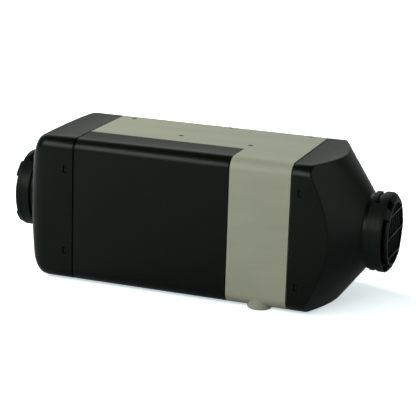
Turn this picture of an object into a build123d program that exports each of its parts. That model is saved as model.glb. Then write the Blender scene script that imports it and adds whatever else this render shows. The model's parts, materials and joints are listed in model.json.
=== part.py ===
from build123d import *
import math
import os

# Diesel air heater, millimetres.
#
# Every piece is drawn about the air axis: +X runs along the axis from the air inlet to the air
# outlet, +Y to the mounting flange at the back, +Z up, with X = 0 at the middle of the flange.
# save() then moves each piece so that the origin is the centre of the flange's sealing face.

# ---------------------------------------------------------------- casing
BODY_DEPTH = 140.0          # front face to back face
BODY_HEIGHT = 150.0         # underside to top
EDGE_R = 12.5               # radius of the four long edges
WALL = 2.5                  # wall of every moulded shell
SEAM_GAP = 0.8              # open line between neighbouring shells
LIP_GAP = 0.3               # clearance between a shell and the lip that it covers
LIP = 2.0                   # thickness of the lips and spigots under the seams
LIP_REACH = 9.0             # how far a lip reaches under its neighbour
FLANGE_TO_CAP_SEAM = 95.0   # flange centre to the seam between inlet cap and body
COVER_LENGTH = 167.0        # control cover, along the axis
STRIP_LENGTH = 63.3         # part of the jacket that shows between cover and outlet hood
COVER_WRAP = 43.5           # how far the control cover wraps over the top and the underside
BACK_EDGE = 17.0            # jacket that stays above and below its open back
BACK_LAP = 4.0              # how far the back panel laps behind the jacket's edges

# ---------------------------------------------------------------- inlet cap
CAP_LENGTH = 54.9           # seam to the end face, measured at the collar
CAP_ROUNDING = 19.0         # roll from the sides into the end face
CAP_CROWN = 0.147           # rise of the end face per millimetre of radius
CAP_CORNER_GROWTH = 0.3     # corner radius gained per millimetre of inset
ROUNDING_STEPS = 7

# ---------------------------------------------------------------- outlet hood
HOOD_FULL_LENGTH = 35.7     # hood seam to where the cone is as wide as the body is high
HOOD_SLOPE = 1.31           # radius lost per millimetre along the axis
HOOD_EDGE_ROUND = 3.0       # rounding where the cone cuts the flat sides

# ---------------------------------------------------------------- collars and their guards
SLEEVE_R = 40.4             # outside of the guard's sleeve: an 80 mm duct slips over it
SLEEVE_WALL = 2.6
COLLAR_GAP = 0.3            # sleeve to the collar inside it
NECK_WALL = 3.0
INLET_NECK_SHOWS = 11.0     # end face of the cap to the sleeve
INLET_SLEEVE_LENGTH = 14.3
OUTLET_NECK_SHOWS = 6.1     # cone to the sleeve
OUTLET_SLEEVE_LENGTH = 16.0
SLEEVE_LAND = 1.0           # bayonet slots to the sleeve's full ring
SKIRT_STEP = 0.5            # slotted part of the sleeve is this much smaller in radius
TAB_STEP = 0.5              # and so are the tabs
NECK_END_GAP = 4.0          # collar end to the sleeve's outer end
INLET_TAB_REACH = 2.7       # guard face beyond the sleeve
OUTLET_TAB_REACH = 5.5
INLET_TAB_SHOULDER = 0.8    # share of the reach at the sleeve's own radius
OUTLET_TAB_SHOULDER = 0.2
# Tabs between sleeve and grille: (degrees above the front seen facing the guard, width in degrees)
INLET_TABS = [(43, 26), (137, 26), (223, 26), (317, 26)]
OUTLET_TABS = [(43, 18), (86, 30), (128, 22), (178, 18), (226, 18), (284, 18)]
GRILLE_INSET = 6.9          # sleeve's outside to the grille's rim
GRILLE_RIM_WIDTH = 2.6
GRILLE_DEPTH = 3.0
GRILLE_BAR_PITCH = 21.5
GRILLE_BAR = 1.6
SLAT_COUNT = 7
SLAT_PITCH = 8.0
SLAT = 1.3
SLAT_DEPTH = 7.0
SLOT_WIDTH = 3.6            # bayonet slot in the sleeve
SLOT_FROM_EDGE = 5.0        # sleeve's inner end to the slot
SLOT_START = 60.0           # closed end, degrees from the front upwards
SLOT_END = 122.0
SLOT_ENTRY = 16.0           # width of the slot's way in, in degrees
LUG_HEIGHT = 2.2
LUG_ANGLE = 6.0
LUG_END_GAP = 1.5           # degrees between lug and closed end
PART_GAP = 0.3              # clearance round fixed pieces that don't touch

# ---------------------------------------------------------------- snap catches
CATCH_LENGTH = 4.0
CATCH_HEIGHT = 7.5
CATCH_SLIT = 1.2
CATCH_FROM_SEAM = 9.0
CAP_CATCH_Z = 43.0
HOOD_CATCH_Z = 47.6
CATCH_NUB = 1.5

# ---------------------------------------------------------------- feet and jacket screws
FOOT_R = 12.5
FOOT_DROP = 2.4
FOOT_ROUND = 2.0            # roll from the foot's side into its underside
FOOT_HEIGHT = 9.0
FRONT_FOOT_X = 105.0
REAR_FOOT_X = -68.0
# Screws in the top along the back edge: (x, distance from the back face)
EDGE_SCREWS = [(-78.5, 19.3), (29.8, 13.0), (118.4, 14.0)]
# Screws in the top over the heat exchanger: (x, y)
POST_SCREWS = [(-4.4, -1.5), (73.9, -10.4)]
SCREW_EAR = 5.0             # half width of the ears that take the edge screws
SCREW_POST_R = 5.0
SCREW_HEAD_R = 2.1
SCREW_HEAD = 1.1
SCREW_SHANK_R = 1.2
SCREW_LENGTH = 9.0
SCREW_HOLE_R = 2.25
SCREW_SINK = 1.6            # depth of the counterbore in the jacket
SCREW_FIT = 0.1
CROSS_ARM = 1.4             # cross recess, half length and half width
CROSS_HALF = 0.3

# ---------------------------------------------------------------- fan, motor and shaft
SHROUD_R = 43.0
SHROUD_WALL = 2.5
SHROUD_GAP = 2.0            # shroud to the cap's end wall
FAN_TIP_GAP = 1.0
FAN_BACK_GAP = 3.0
FAN_HUB_R = 20.0
FAN_LENGTH = 24.0
FAN_SETBACK = 4.9           # cap's end face to the upstream edge of the fan wheel
FAN_HUB_WALL = 3.0
FAN_DOME = 12.0             # length of the hub's domed end
FAN_CORE_R = 8.0
FAN_BLADES = 9
BLADE_THICKNESS = 2.0
BLADE_ROOT_ANGLE = 42.0
BLADE_TIP_ANGLE = 58.0
HUB_RING_R = 33.0
VANES = 5
VANE_THICKNESS = 3.0
SHAFT_R = 3.0
SHAFT_FIT = 0.02
CARRIER_LENGTH = 8.0
MOTOR_LENGTH = 50.0
MOTOR_R = 28.0
MOTOR_WALL = 2.0
MOTOR_FLANGE = 3.0
PILOT_R = 14.0
PILOT_LENGTH = 4.0
BEARING_R = 9.5
BEARING_WIDTH = 6.0
BEARING_RING = 1.8
BALL_R = 1.4
BALL_COUNT = 7
BALL_FIT = 0.05
MAGNET_R = 12.0
AIR_GAP = 0.6
STATOR_LENGTH = 24.0
WINDING_LENGTH = 4.0

# ---------------------------------------------------------------- combustion air blower
HOUSING_WALL = 7.5
BLOWER_LENGTH = 30.0
BLOWER_FLOOR = 4.0
IMPELLER_WIDTH = 10.0
IMPELLER_VANES = 24
IMPELLER_GAP = 1.0
IMPELLER_WEB = 4.0
IMPELLER_HUB = 5.5
CLIP_WIDTH = 1.0
CLIP_GROOVE = 0.6
BLOWER_COVER = 4.0
CHANNEL_WIDTH = 10.0        # side channel in the blower's cover, facing the impeller's pockets
CHANNEL_DEPTH = 2.0
CHANNEL_INSET = 1.0         # channel to the impeller's rim
TRANSFER_R = 6.0            # hole that hands the combustion air on to the burner
LUG_RISE = 2.0              # face that carries the control unit, beyond the housing
LUG_HALF_WIDTH = 6.0
LUG_BEYOND_SCREW = 6.0

# ---------------------------------------------------------------- burner and heat exchanger
BURNER_FLANGE = 8.0
GASKET = 1.0
COMBUSTOR_WALL = 1.5
COMBUSTOR_LENGTH = 38.0
COMBUSTOR_HOLES = 12        # air holes in each of two rows
COMBUSTOR_HOLE_R = 2.0
COMBUSTOR_HOLES_FROM = 22.0
COMBUSTOR_ROW_PITCH = 9.0
FLAME_TUBE_WALL = 1.5
FLAME_TUBE_LENGTH = 84.0
FLAME_TUBE_LAP = 6.0
FLUE_GAP = 8.0              # combustion tube to the exchanger's inner wall
SPACER_LENGTH = 8.0
SPACER = 3.0
WICK = 2.5
EXCHANGER_STEP = 8.0        # exchanger's flange to its drum
EXCHANGER_WALL = 3.0
EXCHANGER_END = 5.0
EXCHANGER_LENGTH = 136.0
EXCHANGER_FLANGE = 5.0
FIN_ROOM = 13.5             # fins to the inside of the casing's front
FIN = 2.0
FIN_COUNT = 30
FIN_START = 10.0            # exchanger's ends to the fins' ends
FIN_END = 6.0
FIN_TAPER = 16.0            # sloped end of each fin: length and drop
FIN_DROP = 11.0
BOLT_INSET = 3.7            # housing's rim to the bolt circle
BOLT_START = 15.0           # first bolt, degrees above the back
BOLT_R = 2.0
BOLT_HEAD_R = 3.4
BOLT_HEAD = 4.0
BOLT_SOCKET_R = 1.6
PLUG_FROM_BURNER = 29.0
PLUG_ANGLE = 45.0           # from the front, upwards
PLUG_R = 5.0
PLUG_BOSS_R = 9.0
PLUG_OUT = 8.0              # terminal's end beyond the fins

# ---------------------------------------------------------------- mounting flange and pipes
EXHAUST_X = 45.0
PORT_BOSS_R = 15.0
FLANGE_LENGTH = 132.0
FLANGE_HEIGHT = 78.0
FLANGE_CORNER = 12.0
FLANGE_THICKNESS = 8.0
FLANGE_PROUD = 1.0          # flange face beyond the jacket's back
SEAL = 3.0                  # mounting gasket
STUD_SPACING_X = 112.0
STUD_SPACING_Z = 58.0
STUD_R = 3.0
STUD_ROOT = 0.3             # step between a stud's root in the flange and its thread
STUD_LENGTH = 20.0          # free length beyond the gasket
STUD_SCALLOP_R = 10.0       # gasket's corners are cut round the studs
EXHAUST_R = 12.0
AIR_PIPE_R = 12.5
PIPE_WALL = 1.5
PIPE_LENGTH = 44.0          # free length beyond the gasket
PIPE_ROOT = 0.5             # step between a pipe's root and its free length
PIPE_DEPTH = 24.0           # how far a pipe reaches in from the gasket face
PIPE_FIT = 0.05
FUEL_R = 2.0
FUEL_NIPPLE_R = 2.75
FUEL_LENGTH = 30.0
FUEL_Z = 20.0
FUEL_WALL = 1.0
FUEL_UNDER_FLANGE = 6.5     # flange's inner face to the pipe's run along X
FUEL_INSERT = 8.0           # pipe's end inside the burner's rim
FUEL_BEND = 7.0

# ---------------------------------------------------------------- control unit and leads
UNIT_LENGTH = 72.0
UNIT_OFFSET = 5.0           # unit's middle upstream of the blower's
UNIT_THICKNESS = 13.0
UNIT_HALF_HEIGHT = 43.0
UNIT_CORNER = 3.0
UNIT_PLATE = 3.0
PLATE_INSET = 4.0           # plate's ends inside the unit's
UNIT_ROOM = 3.5             # unit to the inside of the control cover
UNIT_EAR = 8.0              # unit's edge to the screw above or below it
UNIT_SCREW_R = 2.0
UNIT_RIBS = 5
UNIT_RIB_PITCH = 14.0
UNIT_RIB_LENGTH = 36.0
UNIT_RIB = 3.0
UNIT_RIB_HEIGHT = 0.8
PLUG_BLOCK = (12.0, 9.0, 22.0)
LATCH_HEIGHT = 1.2
LATCH_HALF_WIDTH = 4.0
MAIN_PLUG_Z = -20.0
SIGNAL_PLUG_Z = 26.0
PLUG_LEAD_OFFSET = 5.0
LEAD_R = 1.6
HARNESS_R = 3.0
GROMMET_R = 8.0
GROMMET_GAP = 1.0           # mounting flange to the grommet
GROMMET_FROM_EDGE = 14.0    # edge of the jacket's open back to the grommet's middle
GROMMET_LIP = 2.0
SENSOR_ALONG = 112.0        # exchanger's flange to the sensor
SENSOR_R = 7.0
SENSOR_HEIGHT = 4.5
SENSOR_PAD = 16.0
SENSOR_PAD_PROUD = 2.0      # pad beyond the fins
SENSOR_NECK = 5.0
STRAP_THICKNESS = 0.8
STRAP_HALF_WIDTH = 2.5
STRAP_GRIP = 6.0

# ---------------------------------------------------------------- places worked out from these
HALF_DEPTH = BODY_DEPTH / 2
HALF_HEIGHT = BODY_HEIGHT / 2
CAP_SEAM_X = -FLANGE_TO_CAP_SEAM
STRIP_X = CAP_SEAM_X + COVER_LENGTH
HOOD_SEAM_X = STRIP_X + STRIP_LENGTH
COVER_EDGE_Y = COVER_WRAP - HALF_DEPTH
BACK_HALF = HALF_HEIGHT - BACK_EDGE
NECK_R = SLEEVE_R - SLEEVE_WALL - COLLAR_GAP
GRILLE_RIM_R = SLEEVE_R - GRILLE_INSET
CAP_END_X = CAP_SEAM_X - CAP_LENGTH
HOOD_CONE_X = HOOD_SEAM_X + HOOD_FULL_LENGTH
NECK_BORE_R = NECK_R - NECK_WALL
HOOD_END_X = HOOD_CONE_X + (HALF_HEIGHT - SLEEVE_R) / HOOD_SLOPE
SHROUD_PLATE_X = CAP_SEAM_X - LIP_REACH - 8
FAN_X = CAP_END_X + FAN_SETBACK
MOTOR_X = FAN_X + FAN_LENGTH + FAN_BACK_GAP + CARRIER_LENGTH
MOTOR_END_X = MOTOR_X + MOTOR_LENGTH
BLOWER_END_X = MOTOR_END_X + BLOWER_LENGTH
AIR_PORT_X = MOTOR_END_X + BLOWER_LENGTH / 2
BURNER_X = BLOWER_END_X + BLOWER_COVER + GASKET
EXCHANGER_X = BURNER_X + BURNER_FLANGE + GASKET
FLANGE_Y = HALF_DEPTH + FLANGE_PROUD
FLANGE_BACK_Y = FLANGE_Y - FLANGE_THICKNESS
SEAL_Y = FLANGE_Y + SEAL
UNIT_FRONT_Y = -HALF_DEPTH + WALL + UNIT_ROOM
UNIT_BACK_Y = UNIT_FRONT_Y + UNIT_THICKNESS
LUG_TOP_Y = UNIT_BACK_Y + UNIT_PLATE
UNIT_X = (AIR_PORT_X - UNIT_OFFSET - UNIT_LENGTH / 2, AIR_PORT_X - UNIT_OFFSET + UNIT_LENGTH / 2)
UNIT_EAR_Z = UNIT_HALF_HEIGHT + UNIT_EAR
HOUSING_R = -LUG_TOP_Y - LUG_RISE
CHAMBER_R = HOUSING_R - HOUSING_WALL
IMPELLER_R = CHAMBER_R - IMPELLER_GAP
TRANSFER_Z = IMPELLER_R - CHANNEL_INSET - CHANNEL_WIDTH - 1
BOLT_CIRCLE_R = HOUSING_R - BOLT_INSET
EXCHANGER_R = HOUSING_R - EXCHANGER_STEP
EXCHANGER_INNER_R = EXCHANGER_R - EXCHANGER_WALL
EXCHANGER_END_X = EXCHANGER_X + EXCHANGER_LENGTH
COMBUSTOR_R = EXCHANGER_INNER_R - FLUE_GAP
FIN_R = HALF_DEPTH - WALL - FIN_ROOM
PLUG_X = BURNER_X + BURNER_FLANGE + PLUG_FROM_BURNER
PLUG_LENGTH = FIN_R + PLUG_OUT
SENSOR_X = EXCHANGER_X + SENSOR_ALONG
SENSOR_Y = -FIN_R - SENSOR_PAD_PROUD
GROMMET_X = -FLANGE_LENGTH / 2 - GROMMET_GAP - GROMMET_R
GROMMET_Z = GROMMET_FROM_EDGE - BACK_HALF
FAR = 400.0


# ---------------------------------------------------------------- helpers
def across(x):
    """Plane square to the air axis at x, with its own x along +Y and its own y along +Z."""
    return Plane(origin=(x, 0, 0), x_dir=(0, 1, 0), z_dir=(1, 0, 0))


def outline(inset, corner=None):
    """Rounded rectangle of the casing, drawn in by inset."""
    if corner is None:
        corner = max(EDGE_R - inset, 1.0)
    return RectangleRounded(BODY_DEPTH - 2 * inset, BODY_HEIGHT - 2 * inset, corner)


def prism(x0, x1, inset):
    return extrude(across(x0) * outline(inset), x1 - x0)


def sleeve(x0, x1, inset, thickness):
    """Rectangular tube that follows the casing's outline."""
    return prism(x0, x1, inset) - prism(x0 - 1, x1 + 1, inset + thickness)


def disc(x0, x1, r):
    return extrude(across(x0) * Circle(r), x1 - x0)


def ring(x0, x1, outer, inner):
    return disc(x0, x1, outer) - disc(x0 - 1, x1 + 1, inner)


def block(x, y, z):
    """Box from three (low, high) pairs."""
    size = (x[1] - x[0], y[1] - y[0], z[1] - z[0])
    return Pos((x[0] + x[1]) / 2, (y[0] + y[1]) / 2, (z[0] + z[1]) / 2) * Box(*size)


def bar_y(x, z, r, y0, y1):
    """Round bar along Y."""
    plane = Plane(origin=(x, y0, z), x_dir=(1, 0, 0), z_dir=(0, 1, 0))
    return extrude(plane * Circle(r), y1 - y0)


def bar_z(x, y, r, z0, z1):
    """Round bar along Z."""
    return extrude(Plane(origin=(x, y, z0)) * Circle(r), z1 - z0)


def front_angle(degrees, part):
    """Turn a piece drawn at the front (-Y) upwards about the air axis."""
    return Rot(-degrees, 0, 0) * part


def spin(points):
    """Solid of revolution about the air axis from (x, radius) points."""
    return revolve(make_face(Polyline(*points, close=True)), Axis.X)


def sector(x0, x1, outer, inner, angle, width):
    """Piece of a ring, centred angle degrees above the front and width degrees wide."""
    face = make_face(Polyline((x0, -inner), (x1, -inner), (x1, -outer), (x0, -outer), close=True))
    return front_angle(angle - width / 2, revolve(face, Axis.X, -width))


def around(part, count, start=0.0):
    return [Rot(start + 360.0 * i / count, 0, 0) * part for i in range(count)]


def join(parts):
    """Fuse a list of overlapping solids, or group separate ones."""
    result = parts[0]
    for part in parts[1:]:
        result = result + part
    return result


def both_sides(part):
    """A piece and its mirror image above and below the air axis."""
    return [part, mirror(part, Plane.XY)]


def front_and_back(part):
    return [part, mirror(part, Plane.XZ)]


def lead(name, points, radius):
    """Round lead on straight runs joined by arcs as large as the runs allow."""
    points = [Vector(*p) for p in points]
    radii = []
    for before, corner, after in zip(points, points[1:], points[2:]):
        turn = math.radians((corner - before).get_angle(after - corner))
        shorter = min((corner - before).length, (after - corner).length)
        radii.append(0.45 * shorter / math.tan(turn / 2))
    print(name, "bend radii", [round(r, 1) for r in radii])
    path = FilletPolyline(*points, radius=radii)
    start = Plane(origin=path @ 0, z_dir=path % 0)
    tube = sweep(start * Circle(radius), path)
    print(name, "volume / (section x length)", round(tube.volume / (math.pi * radius**2 * path.length), 4))
    return tube


def save(name, part):
    export_step(Pos(0, -SEAL_Y, 0) * part, f"parts/{name}.step")


# ---------------------------------------------------------------- casing
def catch_slit(seam_x, direction, z):
    """C-shaped slit that frees a springy tongue in the front wall, open towards the right."""
    far = seam_x + direction * CATCH_FROM_SEAM
    x0 = far - CATCH_LENGTH / 2
    y = (-HALF_DEPTH - 1, -HALF_DEPTH + WALL + 1)
    low = z - CATCH_HEIGHT / 2
    high = z + CATCH_HEIGHT / 2
    slit = block((x0, x0 + CATCH_SLIT), y, (low, high))
    slit += block((x0, x0 + CATCH_LENGTH), y, (low, low + CATCH_SLIT))
    slit += block((x0, x0 + CATCH_LENGTH), y, (high - CATCH_SLIT, high))
    return slit


def catch_nub(seam_x, direction, z, clearance=0.0):
    """Nub behind the tongue, or with a clearance the window that it snaps into."""
    x = seam_x + direction * CATCH_FROM_SEAM + CATCH_SLIT
    half_x = CATCH_SLIT + clearance
    half_z = CATCH_HEIGHT / 2 - 2 * CATCH_SLIT + clearance
    y0 = -HALF_DEPTH + WALL - 0.5
    depth = CATCH_NUB + 0.5 + 3 * clearance
    return block((x - half_x, x + half_x), (y0, y0 + depth), (z - half_z, z + half_z))


def catches(piece, seam_x, direction, z):
    """Cut the slits and add the nubs on both faces, above and below the axis."""
    for slit in both_sides(catch_slit(seam_x, direction, z)):
        for cut in front_and_back(slit):
            piece -= cut
    for nub in both_sides(catch_nub(seam_x, direction, z)):
        for copy in front_and_back(nub):
            piece += copy
    return piece


def catch_windows(piece, seam_x, direction, z):
    for nub in both_sides(catch_nub(seam_x, direction, z, PART_GAP)):
        for cut in front_and_back(nub):
            piece -= cut
    return piece


def edge_screw_places():
    return [(x, HALF_DEPTH - from_back) for x, from_back in EDGE_SCREWS]


def screw_places():
    return edge_screw_places() + POST_SCREWS


def screw_counterbore(x, y):
    hole = bar_z(x, y, SCREW_HOLE_R, HALF_HEIGHT - SCREW_SINK, HALF_HEIGHT + 1)
    return hole + bar_z(x, y, SCREW_SHANK_R + SCREW_FIT, HALF_HEIGHT - WALL - LIP - 1, HALF_HEIGHT)


def foot(x, y):
    """Round foot under the casing, its upper end inside the wall."""
    top = -HALF_HEIGHT + FOOT_HEIGHT
    pad = bar_z(x, y, FOOT_R, -HALF_HEIGHT - FOOT_DROP, top)
    pad = fillet(pad.faces().sort_by(Axis.Z)[0].edges(), FOOT_ROUND)
    return pad - prism(x - 2 * FOOT_R, x + 2 * FOOT_R, WALL)


def jacket_shell():
    """Pale jacket: top, underside and the strip in front, open at the back and over the controls."""
    x0 = CAP_SEAM_X + SEAM_GAP / 2
    x1 = HOOD_SEAM_X - SEAM_GAP / 2
    edge_y = COVER_EDGE_Y + SEAM_GAP / 2
    strip_x = STRIP_X + SEAM_GAP / 2
    bay = block((x0 - 1, strip_x), (-HALF_DEPTH - 1, edge_y), (-HALF_HEIGHT - 1, HALF_HEIGHT + 1))
    back = block((x0 - 1, x1 + FAR), (HALF_DEPTH / 2, HALF_DEPTH + 1), (-BACK_HALF, BACK_HALF))
    shell = sleeve(x0, x1, 0, WALL) - bay
    # lip under the cover's end, on the strip side
    front = block((x0, x1), (-HALF_DEPTH, edge_y + LIP_REACH / 2), (-HALF_HEIGHT, HALF_HEIGHT))
    end_lip = sleeve(strip_x - LIP_REACH, strip_x + 1, WALL + LIP_GAP, LIP)
    end_lip += sleeve(strip_x, strip_x + LIP_REACH / 2, WALL, LIP + LIP_GAP)
    shell += end_lip & front
    # lips under the cover's long edges
    lip_x0 = CAP_SEAM_X + LIP_REACH + 2 * SEAM_GAP
    under_cover = block((x0, x1), (edge_y - LIP_REACH, edge_y + 1), (-HALF_HEIGHT, HALF_HEIGHT))
    under_shell = block((x0, x1), (edge_y, edge_y + LIP_REACH / 2), (-HALF_HEIGHT, HALF_HEIGHT))
    shell += sleeve(lip_x0, strip_x, WALL + LIP_GAP, LIP) & under_cover
    shell += sleeve(lip_x0, strip_x + 1, WALL, LIP + LIP_GAP) & under_shell
    # spigot that the outlet hood slides over
    shell += sleeve(x1 - LIP_REACH, x1, WALL, LIP + LIP_GAP)
    spigot = sleeve(x1 - 1, x1 + LIP_REACH, WALL + LIP_GAP, LIP)
    shell += catch_windows(spigot, HOOD_SEAM_X, 1, HOOD_CATCH_Z)
    shell -= back
    foot_y = HALF_DEPTH - FOOT_R
    shell += foot(FRONT_FOOT_X, -foot_y)
    shell += foot(FRONT_FOOT_X, foot_y)
    shell += foot(REAR_FOOT_X, 0)
    for x, y in screw_places():
        shell -= screw_counterbore(x, y)
    return shell


def jacket_back():
    """Panel that closes the jacket's back round the mounting flange."""
    x0 = CAP_SEAM_X + SEAM_GAP / 2
    x1 = HOOD_SEAM_X - SEAM_GAP / 2
    half = BACK_HALF - PART_GAP
    panel = block((x0, x1), (HALF_DEPTH - WALL, HALF_DEPTH), (-half, half))
    lap_x = (CAP_SEAM_X + LIP_REACH + 2 * SEAM_GAP, x1 - LIP_REACH - PART_GAP)
    lap = half + BACK_LAP
    panel += block(lap_x, (HALF_DEPTH - 2 * WALL, HALF_DEPTH - WALL), (-lap, lap))
    inside = prism(x0, x1, WALL + PART_GAP)
    roof = HALF_HEIGHT - WALL - PART_GAP
    for x, y in edge_screw_places():
        y0 = y - SCREW_EAR
        y1 = HALF_DEPTH - WALL - PART_GAP
        ear = block((x - SCREW_EAR, x + SCREW_EAR), (y0, y1), (roof - SCREW_LENGTH, roof))
        web = block((x - WALL / 2, x + WALL / 2), (y0, HALF_DEPTH - 2 * WALL + 1), (half - BACK_LAP, roof))
        panel += (ear + web) & inside
        panel -= bar_z(x, y, SCREW_SHANK_R + SCREW_FIT, roof - SCREW_LENGTH - 1, roof + 1)
    window = Plane(origin=(0, 0, 0), x_dir=(1, 0, 0), z_dir=(0, 1, 0)) * RectangleRounded(
        FLANGE_LENGTH + 2 * PART_GAP, FLANGE_HEIGHT + 2 * PART_GAP, FLANGE_CORNER + PART_GAP
    )
    panel -= extrude(window, FAR)
    panel -= bar_y(GROMMET_X, GROMMET_Z, GROMMET_R - WALL, HALF_DEPTH / 2, HALF_DEPTH + 1)
    return panel


def control_cover():
    """Dark cover over the control bay; it pulls straight off towards the front."""
    x0 = CAP_SEAM_X + SEAM_GAP / 2
    x1 = STRIP_X - SEAM_GAP / 2
    edge_y = COVER_EDGE_Y - SEAM_GAP / 2
    front = block((x0, x1), (-HALF_DEPTH - 1, edge_y), (-HALF_HEIGHT - 1, HALF_HEIGHT + 1))
    return sleeve(x0, x1, 0, WALL) & front


def cap_solid(inset):
    """Rounded end of the inlet cap, drawn in by inset all round."""
    seam = CAP_SEAM_X - SEAM_GAP / 2
    centre_x = CAP_END_X + CAP_ROUNDING
    roll = CAP_ROUNDING - inset
    sections = []
    for i in range(ROUNDING_STEPS + 1):
        angle = math.radians(90.0 * i / ROUNDING_STEPS)
        drawn_in = CAP_ROUNDING - roll * math.cos(angle)
        corner = EDGE_R - inset + CAP_CORNER_GROWTH * (drawn_in - inset)
        plane = across(centre_x - roll * math.sin(angle))
        sections.append(plane * outline(drawn_in, corner))
    body = loft(sections) + prism(centre_x, seam, inset)
    base = CAP_END_X + inset
    rise = CAP_CROWN * (FAR - SLEEVE_R)
    crown = spin([(base, 0), (base, SLEEVE_R), (base + rise, FAR), (seam + 1, FAR), (seam + 1, 0)])
    return body & crown


def bayonet_lugs(sleeve_x, direction):
    """Two lugs on a collar, each resting in the closed end of its slot."""
    slot_x = sleeve_x + direction * (SLOT_FROM_EDGE + SLOT_WIDTH / 2)
    half = SLOT_WIDTH / 2 - PART_GAP
    angle = direction * (SLOT_START + LUG_END_GAP + LUG_ANGLE / 2)
    lug = sector(slot_x - half, slot_x + half, NECK_R + LUG_HEIGHT, NECK_R - 1, angle, LUG_ANGLE)
    return [lug, Rot(180, 0, 0) * lug]


def intake_cap():
    """Dark cap at the inlet end with its round collar."""
    cap = cap_solid(0) - cap_solid(WALL)
    seam = CAP_SEAM_X - SEAM_GAP / 2
    cap -= prism(seam - LIP_REACH, seam + 1, WALL)
    sleeve_x = CAP_END_X - INLET_NECK_SHOWS
    neck_end = sleeve_x - INLET_SLEEVE_LENGTH + NECK_END_GAP
    cap += disc(neck_end, CAP_END_X + WALL, NECK_R)
    cap -= disc(neck_end - 1, CAP_END_X + 2 * WALL, NECK_BORE_R)
    for lug in bayonet_lugs(sleeve_x, -1):
        cap += lug
    return catches(cap, CAP_SEAM_X, -1, CAP_CATCH_Z)


def hood_cone(inset):
    """Cone that cuts the hood's sides, drawn in by inset square to its surface."""
    drop = inset * math.hypot(1, HOOD_SLOPE)
    wide = 2 * HALF_HEIGHT
    narrow = NECK_BORE_R
    x_wide = HOOD_CONE_X + (HALF_HEIGHT - drop - wide) / HOOD_SLOPE
    x_narrow = HOOD_CONE_X + (HALF_HEIGHT - drop - narrow) / HOOD_SLOPE
    start = HOOD_SEAM_X - LIP_REACH
    return spin([(start, 0), (start, wide), (x_wide, wide), (x_narrow, narrow), (x_narrow, 0)])


def hood_solid(inset, x0):
    return prism(x0, HOOD_END_X + HALF_HEIGHT, inset) & hood_cone(inset)


def outlet_hood():
    """Dark hood that narrows from the jacket to the outlet collar."""
    seam = HOOD_SEAM_X + SEAM_GAP / 2
    outer = hood_solid(0, seam)
    ridges = [e for e in outer.edges() if e.center().X > seam + 1 and e.length > 4 * EDGE_R]
    ridges = [e for e in ridges if max(abs(e.center().Y), abs(e.center().Z)) > HALF_DEPTH - 1]
    outer = fillet(ridges, HOOD_EDGE_ROUND)
    hood = outer - hood_solid(WALL, seam - 1)
    sleeve_x = HOOD_END_X + OUTLET_NECK_SHOWS
    neck_end = sleeve_x + OUTLET_SLEEVE_LENGTH - NECK_END_GAP
    hood += disc(HOOD_END_X - 2 * WALL, neck_end, NECK_R)
    hood -= disc(HOOD_END_X - 6 * WALL, neck_end + 1, NECK_BORE_R)
    for lug in bayonet_lugs(sleeve_x, 1):
        hood += lug
    return catches(hood, HOOD_SEAM_X, 1, HOOD_CATCH_Z)


def guard_slots():
    """Pair of L-shaped bayonet slots for a sleeve that starts at x = 0."""
    inner = SLEEVE_R - SLEEVE_WALL - 1
    outer = SLEEVE_R + 1
    middle = (SLOT_START + SLOT_END) / 2
    slot = sector(SLOT_FROM_EDGE, SLOT_FROM_EDGE + SLOT_WIDTH, outer, inner, middle, SLOT_END - SLOT_START)
    slot += sector(-1, SLOT_FROM_EDGE + 1, outer, inner, SLOT_END - SLOT_ENTRY / 2, SLOT_ENTRY)
    return slot + Rot(180, 0, 0) * slot


def guard(length, reach, shoulder, tabs):
    """Finger guard: a sleeve from x = 0, a round grille in front of it, and the tabs between."""
    inner = SLEEVE_R - SLEEVE_WALL
    rim_inner = GRILLE_RIM_R - GRILLE_RIM_WIDTH
    face = length + reach
    skirt = SLOT_FROM_EDGE + SLOT_WIDTH + SLEEVE_LAND
    piece = ring(0, skirt + 1, SLEEVE_R - SKIRT_STEP, inner) - guard_slots()
    piece += ring(skirt, length, SLEEVE_R, inner)
    piece += ring(face - GRILLE_DEPTH, face, GRILLE_RIM_R, rim_inner)
    profile = make_face(Polyline(
        (length - 2, -inner - 0.2),
        (length - 2, TAB_STEP - SLEEVE_R),
        (length + shoulder * reach, TAB_STEP - SLEEVE_R),
        (face, -GRILLE_RIM_R - 1),
        (face, -GRILLE_RIM_R + 1),
        (face - 2, -GRILLE_RIM_R + 1),
        close=True,
    ))
    for angle, width in tabs:
        piece += front_angle(angle - width / 2, revolve(profile, Axis.X, -width))
    fill = disc(face - SLAT_DEPTH, face, rim_inner + 0.5)
    wide = (-SLEEVE_R, SLEEVE_R)
    for i in (-1, 0, 1):
        z = i * GRILLE_BAR_PITCH
        bar = block((face - GRILLE_DEPTH, face), wide, (z - GRILLE_BAR / 2, z + GRILLE_BAR / 2))
        piece += bar & fill
    for i in range(SLAT_COUNT):
        y = (i - (SLAT_COUNT - 1) / 2) * SLAT_PITCH
        x = (face - SLAT_DEPTH, face - GRILLE_DEPTH / 3)
        slat = block(x, (y - SLAT / 2, y + SLAT / 2), wide)
        piece += slat & fill
    return piece


def intake_guard():
    """The inlet's guard faces the other way: half a turn about Y."""
    piece = guard(INLET_SLEEVE_LENGTH, INLET_TAB_REACH, INLET_TAB_SHOULDER, INLET_TABS)
    return Pos(CAP_END_X - INLET_NECK_SHOWS, 0, 0) * Rot(0, 180, 0) * piece


def outlet_guard():
    piece = guard(OUTLET_SLEEVE_LENGTH, OUTLET_TAB_REACH, OUTLET_TAB_SHOULDER, OUTLET_TABS)
    return Pos(HOOD_END_X + OUTLET_NECK_SHOWS, 0, 0) * piece


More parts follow.
